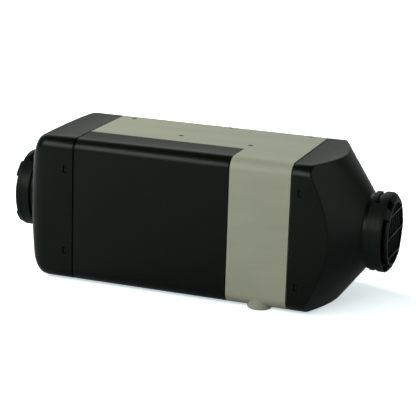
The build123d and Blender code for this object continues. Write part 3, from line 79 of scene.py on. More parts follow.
# Jacket screws: (x, distance behind the air axis) in millimetres
SCREW_PLACES = [(-78.5, 50.7), (29.8, 57.0), (118.4, 56.0), (-4.4, -1.5), (73.9, -10.4)]
SCREW_RECESS, SCREW_SINK = 2.9 * MM, 1.6 * MM  # radius and depth
SCREW_SEAT = SCREWS_TOP - 1.1 * MM  # under the CAD screws' heads


# ---------------------------------------------------------------- settings
class HEATER_PG_casing(bpy.types.PropertyGroup):
    """Sizes of the moulded casing and of its openings."""
    corner: bpy.props.FloatProperty(
        name="Corner radius", description="Radius of the casing's four long edges",
        default=12.5 * MM, subtype="DISTANCE", unit="LENGTH")
    wall: bpy.props.FloatProperty(
        name="Wall", description="Thickness of every moulded shell",
        default=2.5 * MM, subtype="DISTANCE", unit="LENGTH")
    gap: bpy.props.FloatProperty(
        name="Seam gap", description="Width of the shadow groove along the seams of cap and hood",
        default=0.35 * MM, subtype="DISTANCE", unit="LENGTH")
    edge: bpy.props.FloatProperty(
        name="Seam edge radius", description="Rounding of the free edges along the seams",
        default=1.0 * MM, subtype="DISTANCE", unit="LENGTH")
    neck: bpy.props.FloatProperty(
        name="Neck radius", description="Outside of both duct collars",
        default=37.5 * MM, subtype="DISTANCE", unit="LENGTH")
    bore: bpy.props.FloatProperty(
        name="Bore radius", description="Inside of both duct collars",
        default=34.5 * MM, subtype="DISTANCE", unit="LENGTH")
    hood_full: bpy.props.FloatProperty(
        name="Hood full length", description="Hood seam to where its cone is as wide as the casing is high",
        default=35.3 * MM, subtype="DISTANCE", unit="LENGTH")
    hood_slope: bpy.props.FloatProperty(
        name="Hood slope", description="Radius lost per length along the air axis", default=1.31)
    hood_round: bpy.props.FloatProperty(
        name="Hood ridge radius", description="Rounding where the cone cuts the flat sides",
        default=3.0 * MM, subtype="DISTANCE", unit="LENGTH")
    cap_end: bpy.props.FloatProperty(
        name="Cap length", description="Cap seam to its end face at the collar",
        default=54.5 * MM, subtype="DISTANCE", unit="LENGTH")
    cap_round: bpy.props.FloatProperty(
        name="Cap rounding", description="Roll from the cap's sides into its end face",
        default=19.0 * MM, subtype="DISTANCE", unit="LENGTH")
    cap_crown: bpy.props.FloatProperty(
        name="Cap crown", description="Rise of the end face per length of radius", default=0.147)


class HEATER_PG_guard(bpy.types.PropertyGroup):
    """Sizes of the finger guards."""
    sleeve: bpy.props.FloatProperty(
        name="Sleeve radius", description="Outside of the guard's sleeve",
        default=40.4 * MM, subtype="DISTANCE", unit="LENGTH")
    wall: bpy.props.FloatProperty(
        name="Sleeve wall", description="Thickness of the sleeve",
        default=2.6 * MM, subtype="DISTANCE", unit="LENGTH")
    step: bpy.props.FloatProperty(
        name="Sleeve step", description="Skirt and tabs are this much smaller in radius than the full ring",
        default=0.5 * MM, subtype="DISTANCE", unit="LENGTH")
    rim: bpy.props.FloatProperty(
        name="Grille radius", description="Outside of the grille's rim",
        default=33.5 * MM, subtype="DISTANCE", unit="LENGTH")
    slats: bpy.props.IntProperty(
        name="Slats", description="Upright slats in each grille", default=7, min=1)
    slat_pitch: bpy.props.FloatProperty(
        name="Slat pitch", description="Distance between upright slats",
        default=8.0 * MM, subtype="DISTANCE", unit="LENGTH")
    bar_pitch: bpy.props.FloatProperty(
        name="Bar pitch", description="Distance between the three cross bars",
        default=21.5 * MM, subtype="DISTANCE", unit="LENGTH")


class HEATER_PG_colours(bpy.types.PropertyGroup):
    """Colours of the visible finishes."""
    pale: bpy.props.FloatVectorProperty(
        name="Jacket", description="Pale grey-green plastic", subtype="COLOR", size=3,
        default=(0.285, 0.300, 0.218), min=0, max=1)
    dark: bpy.props.FloatVectorProperty(
        name="Cover, cap and hood", description="Black moulded plastic", subtype="COLOR", size=3,
        default=(0.0012, 0.0021, 0.0013), min=0, max=1)
    guard: bpy.props.FloatVectorProperty(
        name="Guards", description="Black plastic of the guards", subtype="COLOR", size=3,
        default=(0.0060, 0.0086, 0.0072), min=0, max=1)


class HEATER_PG_stage(bpy.types.PropertyGroup):
    """Camera and light."""
    floor_gloss: bpy.props.FloatProperty(
        name="Floor in gloss", description="Share of the floor's full white that glossy surfaces mirror",
        default=0.06, min=0, max=1, subtype="FACTOR")
    room_gloss: bpy.props.FloatProperty(
        name="Backdrop in gloss", description="Share of the white backdrop that glossy surfaces mirror",
        default=0.17, min=0, max=1, subtype="FACTOR")
    backdrop_edge: bpy.props.FloatProperty(
        name="Backdrop edge", description="How far round the mirrored backdrop reaches, from its middle",
        default=math.radians(55), subtype="ANGLE", unit="ROTATION")
    room: bpy.props.FloatProperty(
        name="Room", description="Brightness of the room round the heater, where 1 is white",
        default=0.08, min=0)
    paper: bpy.props.FloatVectorProperty(
        name="Floor", description="Colour of the floor paper",
        subtype="COLOR", size=3, default=(0.46, 0.47, 0.48), min=0, max=1)
    azimuth: bpy.props.FloatProperty(
        name="Azimuth", description="Camera's turn round the heater from its front",
        default=math.radians(19.617), subtype="ANGLE", unit="ROTATION")
    elevation: bpy.props.FloatProperty(
        name="Elevation", description="Camera's height above the horizon",
        default=math.radians(15.667), subtype="ANGLE", unit="ROTATION")
    roll: bpy.props.FloatProperty(
        name="Roll", description="Camera's turn about its own line of sight",
        default=math.radians(1.847), subtype="ANGLE", unit="ROTATION")
    distance: bpy.props.FloatProperty(
        name="Distance", description="Camera to the point it looks at",
        default=1.58826, subtype="DISTANCE", unit="LENGTH")
    target: bpy.props.FloatVectorProperty(
        name="Target", description="Point that the camera looks at", subtype="TRANSLATION", size=3,
        default=(26.5 * MM, AXIS_Y, 0.86 * MM))
    lens: bpy.props.FloatProperty(
        name="Lens", description="Focal length in millimetres", default=132.57)


# ---------------------------------------------------------------- node trees
class Wire:
    """A number socket that takes part in Python arithmetic."""

    def __init__(self, tree, socket):
        self.tree = tree
        self.socket = socket

    def join(self, operation, first, second):
        """One step of arithmetic on two numbers or wires."""
        return self.tree.wire("ShaderNodeMath", {"operation": operation}, {0: first, 1: second})

    def __add__(self, other):
        return self.join("ADD", self, other)

    def __radd__(self, other):
        return self.join("ADD", other, self)

    def __sub__(self, other):
        return self.join("SUBTRACT", self, other)

    def __rsub__(self, other):
        return self.join("SUBTRACT", other, self)

    def __mul__(self, other):
        return self.join("MULTIPLY", self, other)

    def __rmul__(self, other):
        return self.join("MULTIPLY", other, self)

    def __pow__(self, other):
        return self.join("POWER", self, other)

    def limited(self):
        """The value held between 0 and 1."""
        return self.tree.wire("ShaderNodeClamp", {}, {0: self})


class Tree:
    """A shader or geometry node tree that is written as Python."""

    def __init__(self, tree):
        self.tree = tree

    def add(self, kind, settings=None, inputs=None):
        """Add a node, set its settings, then feed its sockets with values or links."""
        node = self.tree.nodes.new(kind)
        for name, value in (settings or {}).items():
            setattr(node, name, value)
        for name, value in (inputs or {}).items():
            self.feed(node.inputs[name], value)
        return node

    def feed(self, socket, value):
        """Link a wire or a socket, or write a constant onto the socket itself."""
        if isinstance(value, Wire):
            value = value.socket
        if isinstance(value, bpy.types.NodeSocket):
            self.tree.links.new(value, socket)
        else:
            socket.default_value = value

    def first(self, kind, settings=None, inputs=None):
        """Add a node and hand back its first output."""
        return self.add(kind, settings, inputs).outputs[0]

    def wire(self, kind, settings=None, inputs=None, output=0):
        """Add a node and hand back one of its outputs, wrapped for arithmetic."""
        return Wire(self, self.add(kind, settings, inputs).outputs[output])

    def vector(self, **parts):
        """Vector socket built from numbers or links, given as X, Y and Z."""
        return self.first("ShaderNodeCombineXYZ", {}, parts)


def ramp(value, start, slope, low, rise):
    """Low up to the start, then climbing by rise in all; slope is the share of it gained per unit."""
    return low + ((value - start) * slope).limited() * rise


# ---------------------------------------------------------------- finishes
class Finish(Tree):
    """One material: a Principled shader and the patterns that feed it."""

    def __init__(self, name, colour, roughness, metallic=0.0, sockets=None):
        self.material = bpy.data.materials.new(name)
        self.material.use_nodes = True
        super().__init__(self.material.node_tree)
        self.shader = self.tree.nodes["Principled BSDF"]
        self.colour = (*colour, 1)
        self.feed(self.shader.inputs["Base Color"], self.colour)
        self.feed(self.shader.inputs["Roughness"], roughness)
        self.feed(self.shader.inputs["Metallic"], metallic)
        for socket, value in (sockets or {}).items():
            self.feed(self.shader.inputs[socket], value)
        self.place = self.add("ShaderNodeTexCoord").outputs["Object"]

    def stretched(self, stretch):
        """Place on the object, scaled along each axis."""
        return self.first("ShaderNodeMapping", {}, {"Vector": self.place, "Scale": stretch})

    def noise(self, scale, detail, stretch=(1, 1, 1), distortion=0.0):
        """Soft noise between 0 and 1: scale in patches per metre, detail in octaves."""
        inputs = {"Vector": self.stretched(stretch), "Scale": scale, "Detail": detail,
                  "Distortion": distortion}
        return self.wire("ShaderNodeTexNoise", {}, inputs)

    def cells(self, scale):
        """Distance to the nearest cell centre, for blasted and cast surfaces."""
        return self.wire("ShaderNodeTexVoronoi", {}, {"Vector": self.place, "Scale": scale})

    def tint(self, factor, other):
        """Blend the base colour towards another one."""
        base = self.shader.inputs["Base Color"]
        start = base.links[0].from_socket if base.links else self.colour
        mix = self.add("ShaderNodeMix", {"data_type": "RGBA"}, {0: factor, 6: start, 7: (*other, 1)})
        self.feed(base, mix.outputs[2])

    def patches(self, pattern, other, above, gain, strength):
        """Tint where a pattern rises above a level; gain hardens the edge of the patches."""
        spots = (pattern - above).limited() * gain
        self.tint(spots.limited() * strength, other)

    def set_roughness(self, value):
        """Feed the roughness with a pattern."""
        self.feed(self.shader.inputs["Roughness"], value)

    def bump(self, height, distance, strength):
        """Add relief, distance in metres; several calls stack."""
        normal = self.shader.inputs["Normal"]
        inputs = {"Height": height, "Distance": distance, "Strength": strength}
        if normal.links:
            inputs["Normal"] = normal.links[0].from_socket
        self.feed(normal, self.first("ShaderNodeBump", {}, inputs))


def shade(colour, factor):
    """Colour made darker or lighter."""
    return tuple(channel * factor for channel in colour)


def moulded_plastic(name, colour, roughness, grain=1.0, specular=0.4, ior=1.5):
    """Injection-moulded plastic: fine spark-eroded grain, faint flow clouds, light handling marks."""
    sockets = {"Specular IOR Level": specular, "Specular Tint": (0.86, 1.0, 0.88, 1), "IOR": ior}
    finish = Finish(name, colour, roughness, 0.0, sockets)
    clouds = finish.noise(9.0, 3.0)
    finish.tint(clouds * 0.5, shade(colour, 1.22))
    dusty = tuple(channel + 0.03 for channel in colour)
    finish.patches(finish.noise(240.0, 3.0), dusty, above=0.62, gain=1.6, strength=0.35)
    rubbed = finish.noise(60.0, 4.0, (0.25, 1, 1), distortion=0.6)
    finish.set_roughness(roughness - 0.08 + 0.06 * clouds + 0.20 * rubbed * clouds)
    finish.bump(finish.noise(1100.0, 2.0), 0.045 * MM * grain, 0.6)
    finish.bump(finish.noise(26.0, 1.0), 0.12 * MM, 0.35)
    return finish.material


def pale_plastic(name, colour, roughness):
    """Satin pale plastic: slightly wavy, with darker streaks along its length, cooler patches and fine
    specks.
    """
    finish = Finish(name, colour, roughness, 0.0, {"Specular IOR Level": 0.25})
    clouds = finish.noise(7.0, 3.0)
    finish.tint(clouds * 0.45, shade(colour, 0.93))
    warm = finish.noise(16.0, 2.0, (1, 1, 1.6))
    finish.tint(warm * 0.25, (colour[0] * 1.06, colour[1], colour[2] * 0.93))
    streaks = finish.noise(70.0, 3.0, (0.10, 1, 0.5), distortion=0.4)
    finish.patches(streaks, shade(colour, 0.84), above=0.44, gain=4.0, strength=0.7)
    cool = (colour[0] * 0.98, colour[1], colour[2] * 1.12)
    finish.patches(finish.noise(13.0, 1.0, (1, 1, 0.5)), cool, above=0.45, gain=3.0, strength=0.6)
    finish.patches(finish.noise(900.0, 1.0), shade(colour, 0.6), above=0.7, gain=3.0, strength=0.4)
    finish.set_roughness(roughness - 0.06 + 0.12 * clouds)
    finish.bump(finish.noise(1400.0, 2.0), 0.02 * MM, 0.4)
    finish.bump(finish.noise(22.0, 1.0, (0.6, 1, 1)), 0.2 * MM, 0.35)
    return finish.material


def cast_metal(name, colour, roughness):
    """Blasted die casting: pitted skin and cloudy tone."""
    finish = Finish(name, colour, roughness, 1.0)
    clouds = finish.noise(40.0, 4.0)
    finish.tint(clouds * 0.6, shade(colour, 0.72))
    finish.set_roughness(roughness + 0.14 * clouds)
    finish.bump(finish.cells(1800.0), 0.06 * MM, 0.6)
    finish.bump(finish.noise(300.0, 3.0), 0.05 * MM, 0.5)
    return finish.material


def drawn_metal(name, colour, roughness, stretch=(1, 0.04, 1)):
    """Rolled, drawn or turned metal with fine lines along one direction."""
    finish = Finish(name, colour, roughness, 1.0)
    lines = finish.noise(1600.0, 2.0, stretch)
    smudge = finish.noise(35.0, 3.0)
    finish.tint(lines * 0.35 + smudge * 0.2, shade(colour, 0.7))
    finish.set_roughness(roughness + 0.16 * lines * smudge)
    finish.bump(lines, 0.012 * MM, 0.5)
    return finish.material


def heat_metal(name, colour, roughness):
    """Heat-resisting sheet with straw and blue temper colours."""
    finish = Finish(name, colour, roughness, 1.0)
    band = finish.noise(22.0, 2.0, (1, 0.4, 0.4))
    finish.tint((band - 0.42).limited() * 2.0, (0.42, 0.30, 0.16))
    finish.tint((0.40 - band).limited() * 2.4, (0.22, 0.24, 0.34))
    finish.set_roughness(roughness + 0.15 * finish.noise(120.0, 3.0))
    finish.bump(finish.noise(700.0, 2.0, (1, 0.1, 1)), 0.02 * MM, 0.5)
    return finish.material


def plated_steel(name, colour, roughness):
    """Zinc-plated steel: pale with a faint crystalline bloom."""
    finish = Finish(name, colour, roughness, 1.0)
    bloom = finish.cells(420.0)
    finish.tint(bloom * 0.35, shade(colour, 0.78))
    finish.set_roughness(roughness + 0.12 * finish.noise(180.0, 3.0))
    finish.bump(finish.noise(2200.0, 1.0), 0.01 * MM, 0.5)
    return finish.material


def soft_rubber(name, colour, roughness):
    """Matt rubber or sleeve with bloom and fine pores."""
    finish = Finish(name, colour, roughness)
    bloom = finish.noise(70.0, 3.0)
    finish.tint(bloom * 0.5, tuple(channel * 1.5 + 0.006 for channel in colour))
    finish.set_roughness(roughness - 0.1 + 0.2 * bloom)
    finish.bump(finish.noise(1100.0, 2.0), 0.04 * MM, 0.5)
    return finish.material


def fibre_sheet(name, colour, roughness):
    """Pressed fibre or metal-fibre mat: matted strands."""
    finish = Finish(name, colour, roughness)
    strands = finish.noise(900.0, 4.0, (1, 0.2, 0.6), distortion=1.5)
    finish.tint(strands * 0.7, shade(colour, 0.55))
    finish.set_roughness(roughness - 0.1 + 0.15 * strands)
    finish.bump(strands, 0.12 * MM, 0.8)
    return finish.material


def stacked_sheet(name, colour, roughness):
    """Laminated core: thin sheets stacked along the shaft."""
    finish = Finish(name, colour, roughness, 1.0)
    layers = finish.wire("ShaderNodeTexWave", {"bands_direction": "X"},
                         {"Vector": finish.stretched((1, 0, 0)), "Scale": 320.0})
    finish.tint(layers * 0.5, shade(colour, 0.45))
    finish.set_roughness(roughness + 0.1 * finish.noise(300.0, 2.0))
    finish.bump(layers, 0.05 * MM, 0.6)
    return finish.material


def wound_wire(name, colour, roughness):
    """Enamelled copper winding: turns side by side."""
    finish = Finish(name, colour, roughness, 0.9, {"Coat Weight": 0.5})
    turns = finish.wire("ShaderNodeTexWave", {"wave_type": "RINGS", "rings_direction": "X"},
                        {"Vector": finish.stretched((0.2, 1, 1)), "Scale": 420.0, "Distortion": 0.6})
    finish.tint(turns * 0.5, shade(colour, 0.5))
    finish.set_roughness(roughness + 0.1 * turns)
    finish.bump(turns, 0.1 * MM, 0.7)
    return finish.material


FINISHES = {}


def make_finishes(colours):
    """Build every material once; keys are the record's slot names."""
    dark, guard = tuple(colours.dark), tuple(colours.guard)
    FINISHES.update({
        "beige_plastic": pale_plastic("Pale grey-green plastic", tuple(colours.pale), 0.46),
        "black_plastic": moulded_plastic("Black grained plastic", dark, 0.33, specular=0.16),
        "guard_plastic": moulded_plastic("Black guard plastic", guard, 0.40, 0.5, specular=0.6, ior=1.15),
        "frame_plastic": moulded_plastic("Glass-filled plastic", (0.022, 0.022, 0.022), 0.55),
        "fan_plastic": moulded_plastic("Fan plastic", (0.018, 0.018, 0.020), 0.42, 0.5),
        "unit_plastic": moulded_plastic("Control unit plastic", (0.016, 0.016, 0.018), 0.50),
        "connector_plastic": moulded_plastic("Natural nylon", (0.55, 0.52, 0.43), 0.45, 0.4),
        "zinc_steel": plated_steel("Zinc-plated steel", (0.62, 0.62, 0.58), 0.30),
        "dark_screw": plated_steel("Blackened screw", (0.022, 0.020, 0.018), 0.38),
        "plate_steel": plated_steel("Zinc-plated sheet", (0.56, 0.56, 0.54), 0.34),
        "shaft_steel": drawn_metal("Ground steel", (0.66, 0.66, 0.66), 0.14, (0.04, 1, 1)),
        "motor_metal": drawn_metal("Motor can", (0.50, 0.50, 0.50), 0.30, (1, 0.05, 0.05)),
        "plug_steel": drawn_metal("Turned steel", (0.52, 0.51, 0.49), 0.26),
        "pipe_aluminium": drawn_metal("Drawn aluminium", (0.70, 0.70, 0.71), 0.28),
        "impeller_plastic": drawn_metal("Machined alloy", (0.62, 0.62, 0.62), 0.26, (1, 0.1, 0.1)),
        "magnet": cast_metal("Sintered magnet", (0.16, 0.16, 0.17), 0.42),
        "cast_aluminium": cast_metal("Blasted die casting", (0.58, 0.58, 0.58), 0.44),
        "heat_steel": heat_metal("Heat-resisting steel", (0.46, 0.43, 0.39), 0.30),
        "wick_mat": fibre_sheet("Metal fibre mat", (0.42, 0.39, 0.33), 0.75),
        "gasket_fibre": fibre_sheet("Fibre gasket", (0.085, 0.085, 0.080), 0.80),
        "lead_rubber": soft_rubber("Lead sleeve", (0.016, 0.016, 0.016), 0.55),
        "grommet_rubber": soft_rubber("Grommet rubber", (0.012, 0.012, 0.012), 0.62),
        "lamination": stacked_sheet("Stacked core sheet", (0.34, 0.34, 0.35), 0.40),
        "copper": wound_wire("Copper winding", (0.60, 0.24, 0.10), 0.30),
    })


# ---------------------------------------------------------------- mesh helpers
def mesh_of(bm):
    """Mesh data from a bmesh, which is freed."""
    mesh = bpy.data.meshes.new("work")
    bm.to_mesh(mesh)
    bm.free()
    return mesh


def add_object(name, data):
    """Object in the scene, at the origin."""
    thing = bpy.data.objects.new(name, data)
    bpy.context.scene.collection.objects.link(thing)
    return thing


def piece_of_mesh(mesh, name, finish, body, replaced=(), sharp=35):
    """Turn a mesh into a finished piece that rides on a body; sharp is the angle of edges kept crisp."""
    mesh.name = name
    mesh.materials.clear()
    mesh.materials.append(FINISHES[finish])
    if sharp is not None:
        mesh.shade_smooth()
        mesh.set_sharp_from_angle(angle=math.radians(sharp))
    piece = add_object(name, mesh)
    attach(piece, body)
    if replaced:
        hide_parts(*replaced)


def close_up(bm):
    """Merge doubles and point every face outwards."""
    bmesh.ops.remove_doubles(bm, verts=bm.verts, dist=0.002 * MM)
    bmesh.ops.recalc_face_normals(bm, faces=bm.faces)
    return bm


def bridge(bm, rings, closed=False, lids=True):
    """Quads from ring to ring of vertices; closed joins the last to the first, else lids shut both ends."""
    for ring, following in zip(rings, rings[1:] + rings[:1] if closed else rings[1:]):
        for i in range(len(ring)):
            j = (i + 1) % len(ring)
            bm.faces.new((ring[i], ring[j], following[j], following[i]))
    if lids and not closed:
        bm.faces.new(rings[0])
        bm.faces.new(rings[-1])


def skin(rows, closed=True):
    """Surface over rows of points, each row a ring."""
    bm = bmesh.new()
    bridge(bm, [[bm.verts.new(point) for point in row] for row in rows], closed)
    return close_up(bm)


def applied(piece):
    """The mesh of a piece with its modifiers worked in."""
    evaluated = piece.evaluated_get(bpy.context.evaluated_depsgraph_get())
    return bpy.data.meshes.new_from_object(evaluated)


def with_modifiers(bm, modifiers, sharp=None):
    """Run a bmesh through modifiers, given as (type, settings), and hand back the mesh."""
    mesh = mesh_of(bm)
    if sharp is not None:
        mesh.shade_smooth()
        mesh.set_sharp_from_angle(angle=math.radians(sharp))
    work = add_object("work", mesh)
    for kind, settings in modifiers:
        modifier = work.modifiers.new(kind.title(), kind)
        for name, value in settings.items():
            setattr(modifier, name, value)
    result = applied(work)
    bpy.data.objects.remove(work)
    return result


def bevel(width, segments, angle):
    """Modifier that rounds every edge sharper than an angle in degrees."""
    settings = {"width": width, "segments": segments, "limit_method": "ANGLE",
                "angle_limit": math.radians(angle), "harden_normals": False}
    return ("BEVEL", settings)


def cut_away(mesh, cutters):
    """Cut closed solids, given as one bmesh, out of a mesh."""
    base, tool = add_object("base", mesh), add_object("tool", mesh_of(cutters))
    modifier = base.modifiers.new("Cut", "BOOLEAN")
    modifier.operation = "DIFFERENCE"
    modifier.solver = "EXACT"
    modifier.use_self = True
    modifier.object = tool
    result = applied(base)
    for thing in (base, tool):
        bpy.data.objects.remove(thing)
    return result


def add_box(bm, low, high):
    """Add an axis-aligned box between two corners."""
    size = Vector(high) - Vector(low)
    middle = (Vector(high) + Vector(low)) / 2
    matrix = Matrix.Translation(middle) @ Matrix.Diagonal((*size, 1))
    bmesh.ops.create_cube(bm, size=1, matrix=matrix)


def add_disc(bm, radius, height, matrix, segments):
    """Add an upright cylinder about the matrix's origin."""
    bmesh.ops.create_cone(bm, cap_ends=True, segments=segments, radius1=radius, radius2=radius,
                          depth=height, matrix=matrix)


def outline(half_y, half_z, corner):
    """Rounded rectangle as (y, z) points, the same count whatever its size."""
    arc_steps, side_steps = 10, 24
    inner_y = half_y - corner
    inner_z = half_z - corner
    centres = [(inner_y, inner_z), (-inner_y, inner_z), (-inner_y, -inner_z), (inner_y, -inner_z)]

    def on_arc(quarter, share):
        """Point of a corner's arc, share of the way round it."""
        centre_y, centre_z = centres[quarter % 4]
        angle = math.radians(90 * (quarter + share))
        return Vector((centre_y + corner * math.cos(angle), centre_z + corner * math.sin(angle)))

    points = []
    for quarter in range(4):
        points += [on_arc(quarter, i / arc_steps) for i in range(arc_steps + 1)]
        start, end = points[-1], on_arc(quarter + 1, 0)
        points += [start.lerp(end, i / side_steps) for i in range(1, side_steps)]
    return points


def inset_outline(casing, inset):
    """Section of the casing, drawn in from its outer skin."""
    corner = max(casing.corner - inset, SMALLEST_CORNER)
    return outline(HALF_DEPTH - inset, HALF_HEIGHT - inset, corner)


def at(x, point):
    """Point of a section about the air axis, placed in the frame."""
    return Vector((x, AXIS_Y + point.x, point.y))


def radial_row(directions, x, radius):
    """Circle about the air axis, one point for each direction."""
    return [at(x, direction * radius) for direction in directions]


# ---------------------------------------------------------------- casing shells
HOOD_CATCHES = 47.6 * MM  # height of the snap catches above and below the air axis
CAP_CATCHES = 43.0 * MM
NECK_BLEND = 1.5 * MM  # radius between a shell's end face and its collar
CROWN_RADIUS = 40.4 * MM  # the cap's crowned end face is cap_end from the seam at this radius
GATE_MARK = Vector((-46.1 * MM, COVER_LOW.y, 22.2 * MM))  # on the cover's front


def catch_slits(seam_x, side, height):
    """Blind C-shaped slits round the snap catches, open towards the outlet, on front and back."""
    tool = bmesh.new()
    length, tall, slit = 4.4 * MM, 7.5 * MM, 1.6 * MM
    from_seam, depth, proud = 9.0 * MM, 2.0 * MM, 4 * MM
    start_x = seam_x + side * from_seam - length / 2
    for face in (-1, 1):
        low_y, high_y = sorted(AXIS_Y + face * (HALF_DEPTH + reach) for reach in (-depth, proud))
        for z in (-height, height):
            low, high = z - tall / 2, z + tall / 2
            add_box(tool, (start_x, low_y, low), (start_x + slit, high_y, high))
            for arm_low in (low, high - slit):
                add_box(tool, (start_x + slit / 2, low_y, arm_low),
                        (start_x + length, high_y, arm_low + slit))
    return tool


def seam_edge(x, toward, casing):
    """Rows of a shell's end at a seam: shadow groove, then rounded edge; toward points into the shell."""
    groove = inset_outline(casing, casing.wall / 2)
    rows = [[at(spot, point) for point in groove] for spot in (x, x + toward * casing.gap)]
    for i in range(3):
        angle = math.radians(45 * i)
        along = casing.gap + casing.edge * (1 - math.cos(angle))
        section = inset_outline(casing, casing.edge * (1 - math.sin(angle)))
        rows.append([at(x + toward * along, point) for point in section])
    return rows


def collar_rows(directions, end_x, side, casing):
    """Rows from a collar's outside round its end and into its bore; side points out of the heater."""
    edge = casing.edge
    rows = []
    for i in range(4):
        angle = math.radians(30 * i)
        x = end_x - side * edge * (1 - math.sin(angle))
        rows.append(radial_row(directions, x, casing.neck - edge * (1 - math.cos(angle))))
    for i in range(4):
        angle = math.radians(30 * i)
        x = end_x - side * edge * (1 - math.cos(angle))
        rows.append(radial_row(directions, x, casing.bore + edge * (1 - math.sin(angle))))
    return rows


def hood_mesh(casing):
    """Tapered hood: flat sides, the cone that cuts them with a rounded ridge, and the collar."""
    seam = HOOD_LOW.x
    cone_x = seam + casing.hood_full
    slope = casing.hood_slope
    lean = math.atan(slope)
    outer = inset_outline(casing, 0)
    inner = inset_outline(casing, casing.wall)
    outwards = [point.normalized() for point in outer]
    inwards = [point.normalized() for point in inner]
    rows = seam_edge(seam, 1, casing)
    tangent = casing.hood_round * math.tan(lean / 2)
    ridge_steps, foot_steps = 5, 3
    for i in range(ridge_steps + 1):
        angle = lean * i / ridge_steps
        row = []
        for point in outer:
            ridge_x = cone_x + (HALF_HEIGHT - point.length) / slope
            x = ridge_x - tangent + casing.hood_round * math.sin(angle)
            radius = point.length - casing.hood_round * (1 - math.cos(angle))
            row.append(at(x, point.normalized() * radius))
        rows.append(row)
    foot_x = cone_x + (HALF_HEIGHT - casing.neck) / slope
    reach = NECK_BLEND * math.tan(lean / 2)
    for i in range(1, foot_steps + 1):
        angle = lean * (1 - i / foot_steps)
        x = foot_x + reach - NECK_BLEND * math.sin(angle)
        rows.append(radial_row(outwards, x, casing.neck + NECK_BLEND * (1 - math.cos(angle))))
    rows += collar_rows(outwards, HOOD_HIGH.x, 1, casing)
    drop = casing.wall * math.hypot(1, slope)
    inner_foot = cone_x + (HALF_HEIGHT - drop - casing.bore) / slope
    rows.append(radial_row(inwards, inner_foot, casing.bore))
    rows.append([at(cone_x + (HALF_HEIGHT - drop - point.length) / slope, point) for point in inner])
    rows.append([at(seam, point) for point in inner])
    return cut_away(mesh_of(skin(rows)), catch_slits(seam, 1, HOOD_CATCHES))


def cap_mesh(casing):
    """Inlet cap: sides that roll into a slightly crowned end face with the collar in its middle."""
    seam = CAP_HIGH.x
    end_x = seam - casing.cap_end
    crown = casing.cap_crown
    stop = math.pi / 2 - math.atan(crown)
    roll_steps, blend_steps, neck_steps = 12, 4, 3

    def section_at(drawn, inset_by):
        """Section of the roll; its corners open as it draws in, and are tighter on the inner surface."""
        corner = casing.corner - inset_by * 0.7 + 0.3 * (drawn - inset_by)
        return outline(HALF_DEPTH - drawn, HALF_HEIGHT - drawn, max(corner, SMALLEST_CORNER))

    def crowned(x, point):
        """How far along the axis the end face is at a point."""
        return x + crown * (point.length - CROWN_RADIUS)

    def roll(inset_by, radius):
        """Rows of the roll, for the outer or, drawn in by the wall, the inner surface."""
        rows = []
        last = section_at(inset_by + radius * (1 - math.cos(stop)), inset_by)
        for i in range(roll_steps + 1):
            angle = stop * i / roll_steps
            row = []
            for point, final in zip(section_at(inset_by + radius * (1 - math.cos(angle)), inset_by), last):
                final_x = crowned(end_x + inset_by, final)
                row.append(at(final_x + radius * (math.sin(stop) - math.sin(angle)), point))
            rows.append(row)
        return rows, last

    rows = seam_edge(seam, -1, casing)
    outer_rows, outer = roll(0.0, casing.cap_round)
    rows += outer_rows
    outwards = [point.normalized() for point in outer]
    for i in range(1, blend_steps):
        row = []
        for point, way in zip(outer, outwards):
            spot = point.lerp(way * (casing.neck + NECK_BLEND), i / blend_steps)
            row.append(at(crowned(end_x, spot), spot))
        rows.append(row)
    for i in range(neck_steps + 1):
        angle = math.radians(90 * i / neck_steps)
        radius = casing.neck + NECK_BLEND * (1 - math.sin(angle))
        x = end_x - NECK_BLEND * (1 - math.cos(angle)) + crown * NECK_BLEND
        rows.append(radial_row(outwards, x, radius))
    rows += collar_rows(outwards, CAP_LOW.x, -1, casing)
    inner_rows, inner = roll(casing.wall, casing.cap_round - casing.wall)
    inwards = [point.normalized() for point in inner]
    rows.append(radial_row(inwards, end_x + casing.wall, casing.bore))
    rows += reversed(inner_rows)
    rows.append([at(seam, point) for point in inset_outline(casing, casing.wall)])
    return cut_away(mesh_of(skin(rows)), catch_slits(seam, -1, CAP_CATCHES))


def cover_path(casing, inset, edge_y):
    """Section of the control cover from its upper edge round the front to its lower edge."""
    corner = casing.corner - inset
    front = -HALF_DEPTH + inset
    top = HALF_HEIGHT - inset
    steps = 12
    points = [Vector((edge_y, top))]
    for i in range(steps + 1):
        angle = math.radians(90 + 90 * i / steps)
        y = front + corner + corner * math.cos(angle)
        points.append(Vector((y, top - corner + corner * math.sin(angle))))
    return points + [Vector((point.x, -point.y)) for point in reversed(points)]


def cover_mesh(casing):
    """Control cover: a C-shaped shell with softened free edges and the mark of its gate."""
    edge_y = COVER_HIGH.y - AXIS_Y
    section = cover_path(casing, 0, edge_y) + list(reversed(cover_path(casing, casing.wall, edge_y)))
    rows = [[at(x, point) for point in section] for x in (COVER_LOW.x, COVER_HIGH.x)]
    mesh = with_modifiers(skin(rows, closed=False), [bevel(casing.edge, 3, 60)])
    tool = bmesh.new()
    radius, height = 1.1 * MM, 0.5 * MM
    turned = Matrix.Translation(GATE_MARK) @ Matrix.Rotation(math.radians(90), 4, "X")
    add_disc(tool, radius, height, turned, 20)
    return cut_away(mesh, tool)


